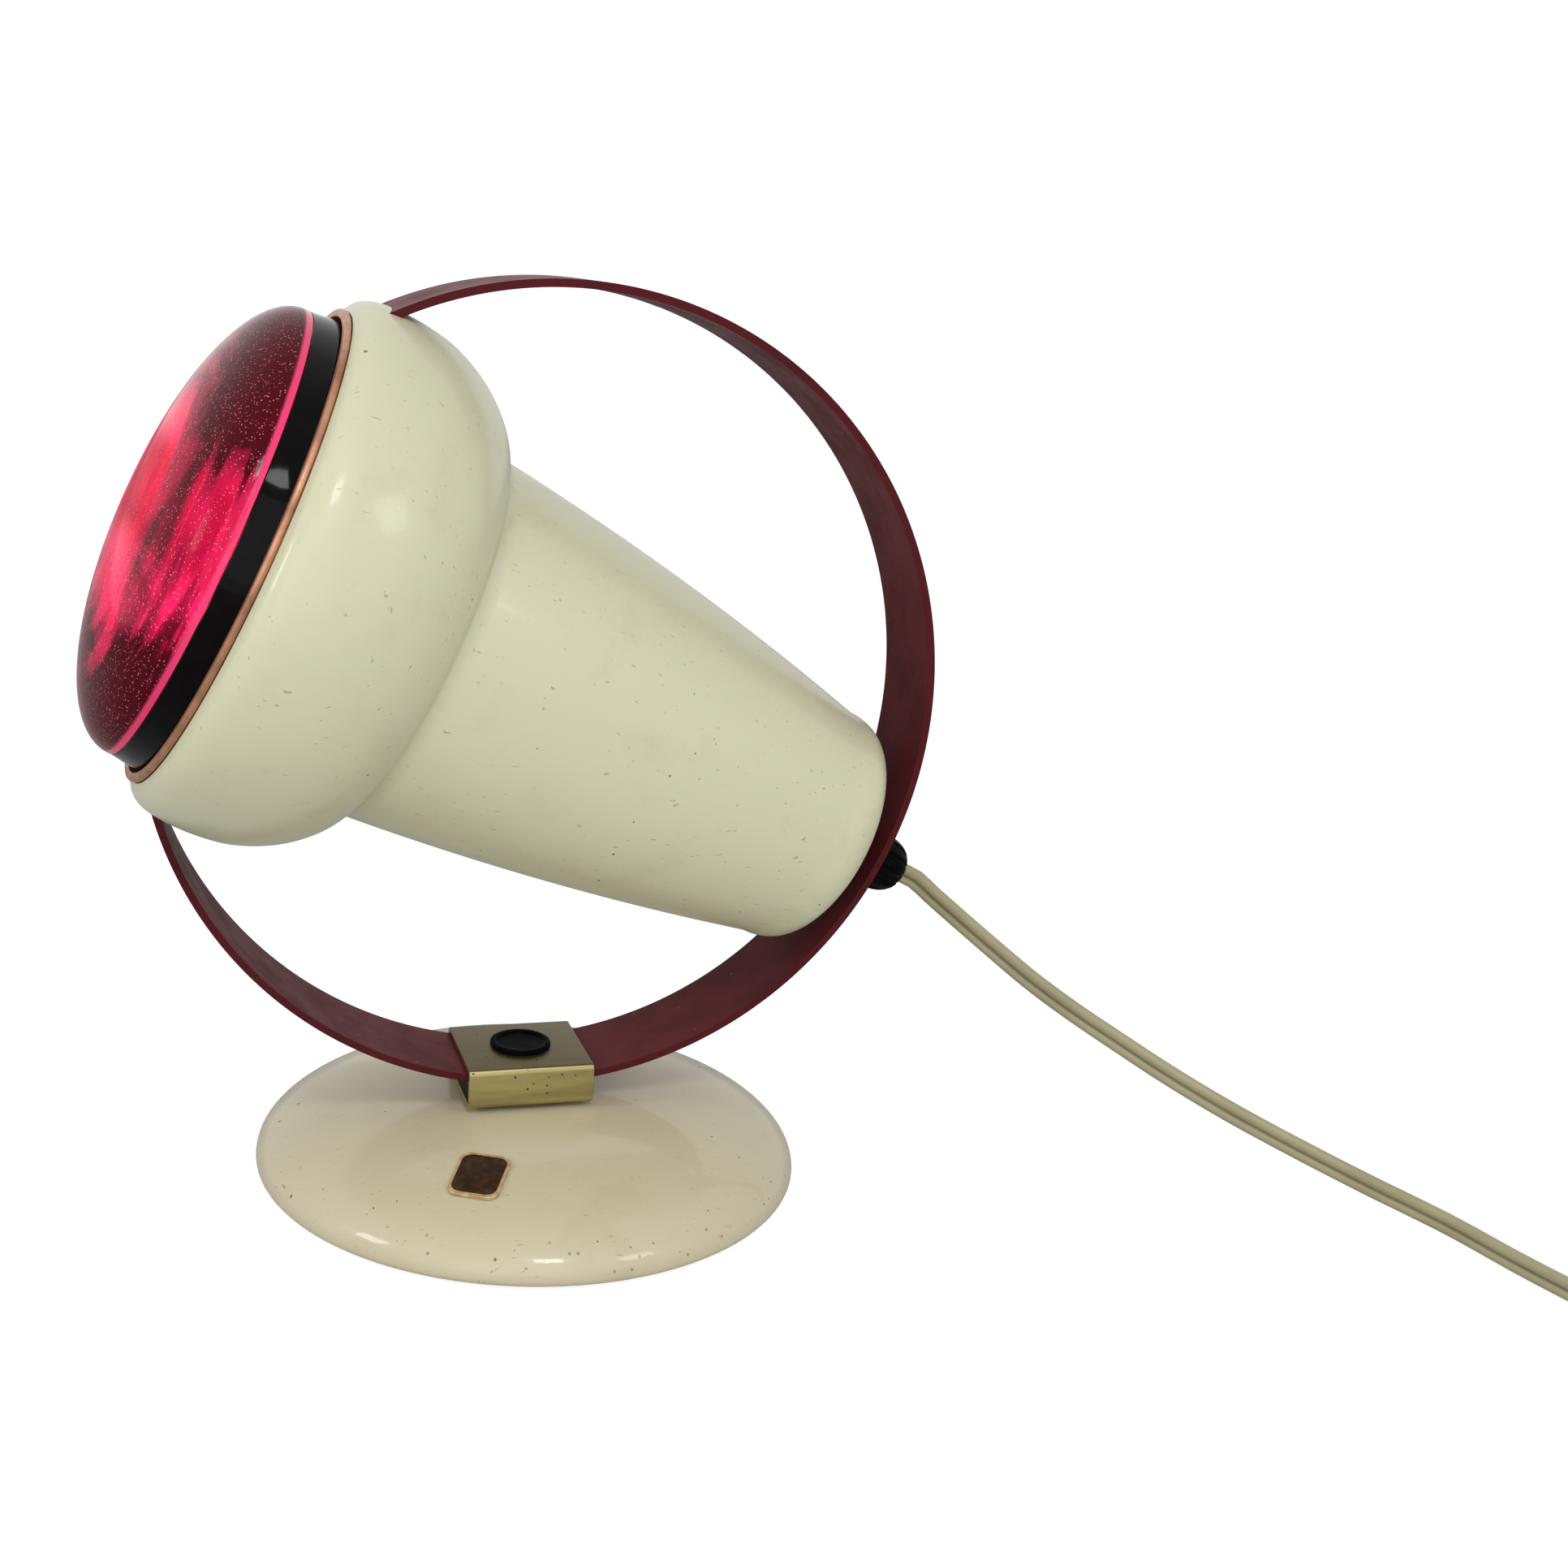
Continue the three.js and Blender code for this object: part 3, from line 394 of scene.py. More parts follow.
curl = quarter_turn(curl_middle, dome_foot, curl_radius, curl_radius, -math.pi / 2, 8)
dome = quarter_turn(seat_radius, dome_foot, dome_spread, dome_rise, 0, 48)
base_outside = [rolled_edge, *curl[:-1], *dome, (screw_hole, dome_foot + dome_rise)]
base = spun("base", sheet(base_outside, sheet_wall), steps=160, closed=True)
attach(base, "base")
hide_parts("base_shell")
print("base faces", len(base.data.polygons))


# %% Blank plate
def rounded_outline(length, width, corner, steps=8):
    """A rectangle with round corners about the origin, its length along the first axis."""
    points = []
    for turn, (x, y) in enumerate(((1, 1), (-1, 1), (-1, -1), (1, -1))):
        middle = Vector((x * (length / 2 - corner), y * (width / 2 - corner)))
        for i in range(steps + 1):
            angle = math.pi / 2 * (turn + i / steps)
            points.append(tuple(middle + corner * Vector((math.cos(angle), math.sin(angle)))))
    return points


plate_length, plate_width, plate_corner = 17, 14, 3
plate_radius = 52
plate_angle = math.radians(-116.5)
# Shares of the outline, with the height over the dome: first the border's, then the face's.
plate_border = [(1, 0.3), (1, 0.95), (0.985, 1.1), (0.9, 1.1), (0.89, 1.05)]
plate_face = [(0.6, 1.05), (0.3, 1.05)]


def plate_on_dome():
    """Rings of the plate's outline, shrinking to its middle and laid on the dome."""
    bm = bmesh.new()
    outward = Vector((math.cos(plate_angle), math.sin(plate_angle)))
    sideways = Vector((-outward.y, outward.x))
    outline = rounded_outline(plate_length, plate_width, plate_corner)
    rings = []
    for share, lift in plate_border + plate_face:
        ring = []
        for x, y in outline:
            place = outward * (plate_radius + x * share) + sideways * (y * share)
            height = dome_height(place.length) + lift
            ring.append(bm.verts.new((place.x * mm, place.y * mm, height * mm)))
        rings.append(ring)
    border_faces = (len(plate_border) - 1) * len(outline)
    for i, face in enumerate(bridged(bm, rings)):
        face.material_index = 0 if i < border_faces else 1
    for ring in (rings[0], rings[-1]):
        bm.faces.new(ring).material_index = 1
    return bm


badge = new_object("badge", plate_on_dome(), smooth=30)
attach(badge, "base")
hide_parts("blank_badge")
print("plate faces", len(badge.data.polygons))

# %% [markdown]
# ## The saddle and its button
# The saddle is a folded box section, open at both ends, so that the hoop can slide through it. A
# block with a hole cut through would need cleaning, so two outlines with round corners are bridged
# into a tube and its rims are bevelled. The button is turned, with a shallow dish in its face.


# %% Saddle
saddle_left, saddle_right = -20.7, 15.1
saddle_low, saddle_high = 24.4, 35.96
saddle_width = 34
saddle_wall = 1.2
saddle_corner = 1.6
saddle_rim = 0.35
fold_steps = 6


def saddle_mesh():
    middle = (saddle_low + saddle_high) / 2
    height = saddle_high - saddle_low
    outer = rounded_outline(saddle_width, height, saddle_corner, fold_steps)
    inner_size = saddle_width - 2 * saddle_wall, height - 2 * saddle_wall
    inner = rounded_outline(*inner_size, saddle_corner - saddle_wall, fold_steps)
    bm = bmesh.new()
    loops = []
    for x, section in (
        (saddle_left, outer),
        (saddle_right, outer),
        (saddle_right, inner),
        (saddle_left, inner),
    ):
        loops.append([bm.verts.new((x * mm, y * mm, (middle + z) * mm)) for y, z in section])
    bridged(bm, loops + loops[:1])
    ends = [set(loop) for loop in loops[:2]]
    rims = [edge for edge in bm.edges if any(end.issuperset(edge.verts) for end in ends)]
    rounded_edges(bm, rims, saddle_rim)
    return bm


saddle = new_object("saddle_clip", saddle_mesh(), smooth=35)
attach(saddle, "clip")
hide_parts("saddle")

button_stem = [(0, 32.5), (5, 32.9), (5, 36.26)]
button_rim = [(8.4, 36.26), (8.7, 36.5), (8.7, 37.0), (8.5, 37.4), (8.1, 37.56)]
button_dish = [(7.3, 37.56), (6.9, 37.4), (6.6, 37.0), (6.0, 36.86), (3.0, 36.84), (0, 36.84)]
button_x = (saddle_left + saddle_right) / 2
button_place = Matrix.Translation((button_x * mm, 0, 0))
button_profile = button_stem + button_rim + button_dish
button = spun("button", button_profile, button_place, steps=64, smooth=50)
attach(button, "clip")
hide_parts("brake_button")
print("saddle faces", len(saddle.data.polygons))

# %% [markdown]
# ## The hoop
# A flat band bent into an open ring. Its two ends run through the bell and lie inside it. A
# straight strip could be bent by a modifier, but then its ends land where they will. Here the
# outline is drawn from the side and carried across the band's width, and the rims are bevelled.


# %% Hoop
hoop_radius = 107
hoop_inside = 105
hoop_half_width = 15
hoop_rim = 0.45
tab_face = 65.66
tab_overrun = 0.8


def open_arc(radius, height, steps=200):
    """Round the hoop from one tab to the other, which stand this far each side of its axis."""
    start = math.asin(height / radius)
    span = 2 * (math.pi - start)
    angles = [start + span * i / steps for i in range(steps + 1)]
    return [(radius * math.cos(angle), radius * math.sin(angle)) for angle in angles]


def hoop_outline():
    inner_face = tab_face - (hoop_radius - hoop_inside)
    tab_end = math.sqrt(hoop_radius**2 - tab_face**2) + tab_overrun
    return [
        (tab_end, inner_face),
        (tab_end, tab_face),
        *open_arc(hoop_radius, tab_face),
        (tab_end, -tab_face),
        (tab_end, -inner_face),
        *open_arc(hoop_inside, inner_face)[::-1],
    ]


def hoop_mesh():
    bm = bmesh.new()
    outline = hoop_outline()
    loops = []
    for y in (-hoop_half_width, hoop_half_width):
        loops.append([bm.verts.new((x * mm, y * mm, z * mm)) for z, x in outline])
    bridged(bm, loops)
    count = len(outline)
    half = count // 2
    for loop in loops:
        for i in range(half - 1):
            bm.faces.new((loop[i], loop[i + 1], loop[count - 2 - i], loop[count - 1 - i]))
    sides = [set(loop) for loop in loops]
    sharp = math.radians(60)
    rims = [
        edge
        for edge in bm.edges
        if any(side.issuperset(edge.verts) for side in sides)
        and abs(edge.calc_face_angle(0)) > sharp
    ]
    rounded_edges(bm, rims, hoop_rim)
    return bm


hoop = new_object("hoop_band", hoop_mesh(), head, smooth=35)
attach(hoop, "head")
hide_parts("hoop")
print("hoop faces", len(hoop.data.polygons))

# %% [markdown]
# ## The shade
# One spun shell: a rounded tail end, a tail that swells gently, a crease, and the bell. Each
# stretch is a curve of its own, because one curve through them all would soften the crease. A
# copper-coloured ring lies inside the lip.


# %% Shade
tail_tip = -98
tail_cap = 16
tail_end_radius = 34.5
tail_fullness = 2 / 2.9
tail_middle_radius = 44.7
tail_flat = 6
nipple_hole = 5.1
crease_radius, crease_height = 50.7, 39.245
bell_overhang = 19.7
lip_radius, lip_height = 64.1, 89.345
# How far along the bell, and how far out from the crease to the widest place.
bell_shares = [
    (0.063, 0.29),
    (0.147, 0.52),
    (0.284, 0.76),
    (0.473, 0.945),
    (0.663, 1),
    (0.82, 0.985),
    (0.92, 0.93),
    (0.975, 0.835),
]


def tail_end(steps=24):
    """The rounded end, from the flat round its hole to where the tail starts."""
    points = []
    for i in range(1, steps):
        angle = math.pi / 2 * i / steps
        radius = tail_end_radius * math.sin(angle) ** tail_fullness
        if radius > tail_flat:
            points.append((radius, tail_tip + tail_cap * (1 - math.cos(angle) ** tail_fullness)))
    return points


def tail(steps=30):
    """One curve from the rounded end to the crease, through the tail's middle radius."""
    start = Vector((tail_end_radius, tail_tip + tail_cap))
    crease = Vector((crease_radius, crease_height))
    middle = Vector((tail_middle_radius, (start.y + crease.y) / 2))
    pull = 2 * middle - (start + crease) / 2
    return [
        tuple(start * (1 - t) ** 2 + pull * 2 * t * (1 - t) + crease * t * t)
        for t in (i / steps for i in range(steps))
    ]


def bell(steps=60):
    length = lip_height - crease_height
    points = [
        (crease_radius + bell_overhang * out, crease_height + length * along)
        for along, out in [(0, 0), *bell_shares]
    ]
    return smooth_line([*points, (lip_radius, lip_height)], steps)


shade_outside = [(nipple_hole, tail_tip), *tail_end(), *tail(), *bell()]
shade_sheet = sheet(shade_outside, sheet_wall)
shade = spun("shade_shell", shade_sheet, head, steps=192, closed=True, smooth=60)
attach(shade, "head")
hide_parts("shade")

liner_sleeve = [(61.9, 86), (62.8, 86), (62.8, 89.65)]
liner_bead = [(64.0, 89.65), (64.15, 89.9), (64.15, 90.7), (63.9, 91.1), (63.4, 91.25)]
liner_inside = [(62.4, 91.25), (62.0, 91.1), (61.9, 90.8)]
liner_profile = liner_sleeve + liner_bead + liner_inside
liner = spun("liner", liner_profile, head, steps=160, closed=True)
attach(liner, "head")
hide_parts("lip_liner")
print("shade faces", len(shade.data.polygons))


# %% [markdown]
# ## The knob behind the hoop
# A domed black knob with twelve grooves. Grooves that are cut by a boolean leave ragged edges on a
# dome, so the radius of each ring dips where a groove runs, and less and less towards the nose.


# %% Knob
knob_radius = 8.5
knob_nose = 4.2
knob_dome = 9.1
knob_foot = -107.3
lead_bore = 3.4
groove_count = 12
groove_depth = 0.75
groove_half_share = 0.2
groove_start_radius, groove_fade = 4.5, 2
nose_rounding = 0.2
foot_chamfer, foot_chamfer_rise = 0.3, 0.5


def knob_stations(steps=12):
    """Radii and heights up the knob's side, from the lead's bore to the foot."""
    stations = [
        (lead_bore, knob_tip + nose_rounding / 2),
        (knob_nose - 2 * nose_rounding, knob_tip),
        (knob_nose, knob_tip + nose_rounding),
    ]
    for i in range(1, steps + 1):
        angle = math.pi / 2 * i / steps
        radius = knob_nose + (knob_radius - knob_nose) * math.sin(angle)
        stations.append((radius, knob_tip + knob_dome * (1 - math.cos(angle))))
    return stations + [
        (knob_radius, knob_foot - foot_chamfer_rise),
        (knob_radius - foot_chamfer, knob_foot),
        (nipple_hole, knob_foot),
    ]


def knob_mesh(sides=144):
    bm = bmesh.new()
    rings = []
    for radius, z in knob_stations():
        full_depth = groove_depth * min(max(radius - groove_start_radius, 0) / groove_fade, 1)
        ring = []
        for i in range(sides):
            phase = (i / sides * groove_count) % 1
            across = min(phase, 1 - phase) / groove_half_share
            r = radius - full_depth * max(0, 1 - across**2) ** 0.5
            angle = 2 * math.pi * i / sides
            corner = (r * math.cos(angle) * mm, r * math.sin(angle) * mm, z * mm)
            ring.append(bm.verts.new(corner))
        rings.append(ring)
    bridged(bm, rings)
    bm.faces.new(rings[0])
    bm.faces.new(rings[-1])
    return bm


knob = new_object("knob", knob_mesh(), head, smooth=50)
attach(knob, "head")
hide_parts("outlet_knob")
print("knob faces", len(knob.data.polygons))

# %% [markdown]
# ## The bulb
# Ruby glass in front and a mirrored shell behind it, both with a real wall, because light that
# passes a single surface doesn't look like glass. The filament, its supports and the cap inside
# are the part's own.


# %% Bulb
glass_wall = 1.2
glass_rear = 97.65
glass_radius = 59.9
glass_depth = 21.2
glass_fullness = 2 / 2.1


def front_profile(depth, radius, steps=40):
    points = []
    for i in range(steps):
        angle = math.pi / 2 * i / steps
        out = radius * math.cos(angle) ** glass_fullness
        points.append((out, glass_rear + depth * math.sin(angle) ** glass_fullness))
    return points + [(0, glass_rear + depth)]


front_outside = front_profile(glass_depth, glass_radius)
front_inside = front_profile(glass_depth - glass_wall, glass_radius - glass_wall)
bulb_front = spun("bulb_glass", front_inside[::-1] + front_outside, head, steps=160, smooth=50)
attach(bulb_front, "head")
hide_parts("bulb_front")

cap_front = -36.3
neck_radius = 11.6
neck_overlap = 6
cone_radius, cone_spread = 15.2, 46
reflector_front = 97.35
# How far out from the cone's start, and how far from the cap to the front.
reflector_shares = [
    (0.04, 0),
    (0.197, 0.06),
    (0.3, 0.16),
    (0.459, 0.418),
    (0.661, 0.766),
    (0.758, 0.882),
    (0.856, 0.966),
    (0.93, 1),
]
reflector_length = reflector_front - cap_front
reflector_points = [
    (cone_radius + cone_spread * out, cap_front + reflector_length * along)
    for along, out in reflector_shares
]
reflector_curve = smooth_line(
    [(neck_radius, cap_front + 0.3), *reflector_points, (glass_radius, reflector_front)], 80
)
reflector_sheet = sheet([(neck_radius, cap_front - neck_overlap), *reflector_curve], glass_wall)
reflector = spun("bulb_shell", reflector_sheet, head, steps=160, closed=True, smooth=50)
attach(reflector, "head")
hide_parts("bulb_reflector")
print("bulb faces", len(bulb_front.data.polygons) + len(reflector.data.polygons))

# %% [markdown]
# ## The plug
# It lies on the table at the end of the lead, with a tapered relief behind it. The relief's slits
# are part of its profile, and the plug's block is rounded by a bevel on all its edges, as a
# moulded piece is. The pins and the coil's tie follow.

# %% Relief
plug_start = leaving(tail_reach, plug_axis)
upright = Vector((0, 0, 1))
plug_turn = Matrix((upright.cross(coil_heading), upright, coil_heading)).transposed()
plug_frame = Matrix.Translation(plug_start) @ plug_turn.to_4x4()

relief_length = 26
relief_thin, relief_thick = 4.2, 5.4
slit_count = 5
slit_first, slit_pitch = 3, 4.4
slit_depth, slit_floor, slit_slope = 0.7, 1.1, 0.3
relief_profile = [(lead_bore, 0.3), (4.0, 0.3), (relief_thin, 0.8)]
for i in range(slit_count):
    z = slit_first + slit_pitch * i
    r = relief_thin + (relief_thick - relief_thin) * z / relief_length
    bottom = r - slit_depth
    floor_end = z + slit_slope + slit_floor
    relief_profile += [(r, z), (bottom, z + slit_slope)]
    relief_profile += [(bottom, floor_end), (r, floor_end + slit_slope)]
relief_profile += [(relief_thick, relief_length), (lead_bore, relief_length)]
relief = spun("relief", relief_profile, plug_frame, steps=48, closed=True)
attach(relief, "clip")
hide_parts("plug_relief")
print("plug at", [round(x, 3) for x in plug_start])

# %% Plug and pins
plug_half_width, plug_rear_half = 15, 7.5
plug_rear, plug_front = 26.3, 64.3
plug_rounding = 1.6


def plug_mesh():
    """A block with its rear corners cut off. It lies on the table, so its axis is at half of
    its thickness."""
    shoulder = plug_rear + plug_half_width - plug_rear_half
    half = [(plug_rear_half, plug_rear), (plug_half_width, shoulder), (plug_half_width, plug_front)]
    outline = [(-plug_rear_half, plug_rear), *half]
    outline += [(-plug_half_width, plug_front), (-plug_half_width, shoulder)]
    bm = bmesh.new()
    loops = []
    for y in (-plug_axis, plug_axis):
        loops.append([bm.verts.new((x * mm, y, z * mm)) for x, z in outline])
    bridged(bm, loops)
    bm.faces.new(loops[0])
    bm.faces.new(loops[1])
    rounded_edges(bm, bm.edges[:], plug_rounding, segments=4)
    return bm


plug = new_object("plug", plug_mesh(), plug_frame, smooth=35)
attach(plug, "clip")
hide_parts("plug_body")

pin_profile = [(0, 64), (2, 64), (2, 82.5), (1.7, 83.1), (0.9, 83.3), (0, 83.3)]
pin_spread = 9.3
pins = []
for side, name in ((-1, "pin_a"), (1, "pin_b")):
    place = plug_frame @ Matrix.Translation((side * pin_spread * mm, 0, 0))
    pin = spun(name, pin_profile, place, steps=32)
    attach(pin, "clip")
    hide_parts("plug_" + name)
    pins.append(pin)
print("plug faces", len(plug.data.polygons))

# %% Coil tie
tie_length, tie_height = 18.6, 15.4
tie_strap = 0.7
tie_half_width = 3
tie_radius, tie_middle = 37.1, 7.7
tie_angle = math.radians(60)


def tie_mesh():
    """A flat strap round the coil's two layers."""
    bm = bmesh.new()
    outer = rounded_outline(tie_length, tie_height, 2 * tie_strap, 4)
    inner_size = tie_length - 2 * tie_strap, tie_height - 2 * tie_strap
    inner = rounded_outline(*inner_size, tie_strap, 4)
    near, far = -tie_half_width, tie_half_width
    middle = Vector((tie_radius, 0, tie_middle))
    loops = []
    for y, section in ((near, outer), (far, outer), (far, inner), (near, inner)):
        loops.append([bm.verts.new((middle + Vector((x, y, z))) * mm) for x, z in section])
    bridged(bm, loops + loops[:1])
    return bm


tie_place = Matrix.Translation(coil_middle) @ Matrix.Rotation(tie_angle, 4, "Z")
tie = new_object("tie", tie_mesh(), tie_place, smooth=35)
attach(tie, "clip")
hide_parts("coil_tie")
print("tie faces", len(tie.data.polygons))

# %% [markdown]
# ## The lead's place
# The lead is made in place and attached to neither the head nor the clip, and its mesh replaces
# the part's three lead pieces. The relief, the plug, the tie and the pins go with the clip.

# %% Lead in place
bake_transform(lead)
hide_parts("lead_free", "lead_coil", "lead_tail")

# %% [markdown]
# ## Shader maths
# A small class wraps a node's output, so that patterns read as sums and products. Placed by hand,
# each of those would be a node and two links.


# %% Shader tools
def feed(tree, socket, value):
    if isinstance(value, Field):
        tree.links.new(value.socket, socket)
    else:
        socket.default_value = value


class Field:
    """A number or a vector that varies over a surface."""

    def __init__(self, paint, socket):
        self.paint = paint
        self.socket = socket

    def maths(self, operation, *others):
        node = self.paint.tree.nodes.new("ShaderNodeMath")
        node.operation = operation
        for socket, value in zip(node.inputs, others):
            feed(self.paint.tree, socket, value)
        return Field(self.paint, node.outputs[0])

    def __add__(self, other):
        return self.maths("ADD", self, other)

    def __sub__(self, other):
        return self.maths("SUBTRACT", self, other)

    def __rsub__(self, other):
        return self.maths("SUBTRACT", other, self)

    def __mul__(self, other):
        return self.maths("MULTIPLY", self, other)

    def __abs__(self):
        return self.maths("ABSOLUTE", self)

    def most(self, other):
        return self.maths("MAXIMUM", self, other)

    def least(self, other):
        return self.maths("MINIMUM", self, other)

    __radd__ = __add__
    __rmul__ = __mul__

    def ramp(self, low, high):
        """Rises smoothly from 0 at low to 1 at high."""
        smooth = {"interpolation_type": "SMOOTHSTEP"}
        return self.paint.node("MapRange", smooth, Value=self, From_Min=low, From_Max=high)


class Paint:
    """One material, with its surface shader and the nodes that feed it."""

    def __init__(self, name, **surface):
        self.material = bpy.data.materials.new(name)
        self.material.use_nodes = True
        self.tree = self.material.node_tree
        self.shader = self.tree.nodes["Principled BSDF"]
        self.surface = Field(self, self.shader.outputs[0])
        self.output = self.tree.nodes["Material Output"]
        self.place = self.node("TexCoord", output="Object")
        self.set(**surface)

    def fill(self, node, inputs):
        for key, value in inputs.items():
            feed(self.tree, node.inputs[key.replace("_", " ")], value)

    def node(self, kind, settings=None, output=0, **inputs):
        """A new node's output. In the names of inputs, an underscore stands for a space."""
        node = self.tree.nodes.new("ShaderNode" + kind)
        for key, value in (settings or {}).items():
            setattr(node, key, value)
        self.fill(node, inputs)
        return Field(self, node.outputs[output])

    def set(self, **inputs):
        """Feeds the surface shader."""
        self.fill(self.shader, inputs)

    def noise(self, scale, detail=2.0, roughness=0.5, at=None, distortion=0.0):
        return self.node(
            "TexNoise",
            Vector=at or self.place,
            Scale=scale,
            Detail=detail,
            Roughness=roughness,
            Distortion=distortion,
        )

    def stretched(self, scale, turn=(0, 0, 0)):
        """The place on the piece, turned and scaled differently along each axis."""
        return self.node("Mapping", Vector=self.place, Rotation=turn, Scale=scale)

    def vector_maths(self, operation, a, b, output):
        node = self.tree.nodes.new("ShaderNodeVectorMath")
        node.operation = operation
        feed(self.tree, node.inputs[0], a)
        feed(self.tree, node.inputs[1], b)
        return Field(self, node.outputs[output])

    def along(self, origin, direction):
        """Distance from origin along a direction."""
        offset = self.vector_maths("SUBTRACT", self.place, tuple(origin), "Vector")
        return self.vector_maths("DOT_PRODUCT", offset, tuple(direction), "Value")

    def specks(self, scale, size, share):
        """Small round spots with soft edges, on a share of a grid of cells."""
        cells = self.tree.nodes.new("ShaderNodeTexVoronoi")
        self.fill(cells, {"Vector": self.place, "Scale": scale})
        lot = self.node("SeparateColor", Color=Field(self, cells.outputs["Color"]))
        chosen = lot.ramp(1 - share, 1 - share + 0.01)
        core = 0.6 * size
        return (1 - Field(self, cells.outputs["Distance"]).ramp(core, size)) * chosen

    def mix(self, share, a, b):
        """Colour a where share is 0, and colour b where it is 1."""
        node = self.tree.nodes.new("ShaderNodeMix")
        node.data_type = "RGBA"
        feed(self.tree, node.inputs["Factor"], share)
        for socket, value in zip((node.inputs[6], node.inputs[7]), (a, b)):
            feed(self.tree, socket, value if isinstance(value, Field) else (*value, 1))
        return Field(self, node.outputs[2])

    def bump(self, height, depth):
        return self.node("Bump", Height=height, Distance=depth, Strength=1.0)

    def join(self, share, first, second):
        """The first surface where share is 0, and the second where it is 1."""
        node = self.tree.nodes.new("ShaderNodeMixShader")
        for socket, value in zip(node.inputs, (share, first, second)):
            feed(self.tree, socket, value)
        self.tree.links.new(node.outputs[0], self.output.inputs["Surface"])

    def on(self, *objects):
        for piece in objects:
            if piece.data.materials:
                piece.data.materials[0] = self.material
            else:
                piece.data.materials.append(self.material)


def linear(level):
    """The light of a level of 0 to 255 on screen."""
    share = level / 255
    return ((share + 0.055) / 1.055) ** 2.4 if level > 10 else share / 12.92


def shade_of(r, g, b):
    return linear(r), linear(g), linear(b)


def aged(name, grain, first, second, between=(0.3, 0.8), rough=0.5, rougher=0, bump=0, **surface):
    """A finish of two colours, mixed by a noise that also roughens it and may dent it."""
    paint = Paint(name, **surface)
    age = paint.noise(*grain)
    colour = paint.mix(age.ramp(*between), shade_of(*first), shade_of(*second))
    paint.set(Base_Color=colour, Roughness=rough + rougher * age)
    if bump:
        paint.set(Normal=paint.bump(age, bump))
    return paint


def paint_nodes(paint, *names):
    """For the part's own pieces that nothing here replaces."""
    paint.on(*(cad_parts[name] for name in names))


print("shader tools ready")

# %% [markdown]
# ## Finishes
# Old enamel with faint specks, satin anodising, worn paint, plain metals and a milky lead. A
# picture could carry the wear, but noises need no file and stay on the piece when it moves. Each
# finish mixes a few of them, and their scales are in waves or cells per metre.


# %% Cream enamel
stain_colour = shade_of(176, 164, 122)
dot_colour = shade_of(76, 68, 50)
scratch_colour = shade_of(132, 122, 96)
grime_colour = shade_of(112, 106, 78)
grime_start, grime_full = 68 * mm, 75 * mm


def cream_paint(name, enamel, gloss, rim_wear):
    """Enamel with clouds, stains, dots and scratches, and with grime towards the base's rim."""
    paint = Paint(name, Coat_Roughness=0.07, Specular_IOR_Level=0.2)
    cloud = paint.noise(11, 3).ramp(0.3, 0.7)
    colour = paint.mix(cloud * 0.3, enamel, tuple(c * 0.93 for c in enamel))
    stain = paint.noise(48, 5, 0.65).ramp(0.5, 0.8)
    colour = paint.mix(stain * 0.24, colour, stain_colour)
    dots = paint.specks(170, 0.11, 0.09)
    dots = dots.most(paint.specks(90, 0.07, 0.09)).most(paint.specks(330, 0.12, 0.05))
    colour = paint.mix(dots * 0.8, colour, dot_colour)
    streaky = paint.stretched((1, 7, 2), (0.4, 0.9, 0.3))
    scratches = paint.noise(260, 2, 0.5, at=streaky).ramp(0.7, 0.74)
    colour = paint.mix(scratches * 0.5, colour, scratch_colour)
    flattened = paint.stretched((1, 1, 0))
    length = {"operation": "LENGTH"}
    reach = paint.node("VectorMath", length, output="Value", Vector=flattened)
    grime = paint.specks(430, 0.24, 0.22) * reach.ramp(grime_start, grime_full) * rim_wear
    colour = paint.mix(grime * 0.6, colour, grime_colour)
    ripple = paint.noise(70, 2) * 0.5 + paint.noise(420, 2) * 0.08
    paint.set(
        Base_Color=colour,
        Roughness=0.26 + 0.12 * paint.noise(24, 3),
        Coat_Weight=gloss + 0.1 * cloud,
        Normal=paint.bump(ripple, 0.0001),
    )
    return paint


cream_paint("cream_shade", shade_of(217, 216, 184), gloss=0.08, rim_wear=0).on(shade)
cream_paint("cream_base", shade_of(210, 200, 170), gloss=0.3, rim_wear=1).on(base)
print("cream done")

# %% Hoop paint and saddle
origin = (0, 0, 0)
burgundy = Paint("burgundy", Specular_IOR_Level=0.03)
edge_start, edge_full = (hoop_half_width - 0.8) * mm, (hoop_half_width - 0.1) * mm
edge = abs(burgundy.along(origin, (0, 1, 0))).ramp(edge_start, edge_full)
wear = burgundy.noise(60, 4, 0.65).ramp(0.35, 0.75)
colour = burgundy.mix(wear * 0.6, shade_of(98, 33, 38), shade_of(68, 28, 32))
colour = burgundy.mix(edge * 0.5, colour, shade_of(74, 30, 33))
fleck = burgundy.specks(260, 0.14, 0.08)
colour = burgundy.mix(fleck * 0.5, colour, shade_of(150, 100, 95))
burgundy.set(
    Base_Color=colour,
    Roughness=0.36 + 0.16 * wear,
    Coat_Weight=0.03 * wear,
    Normal=burgundy.bump(burgundy.noise(900, 2), 0.00003),
)
burgundy.on(hoop)

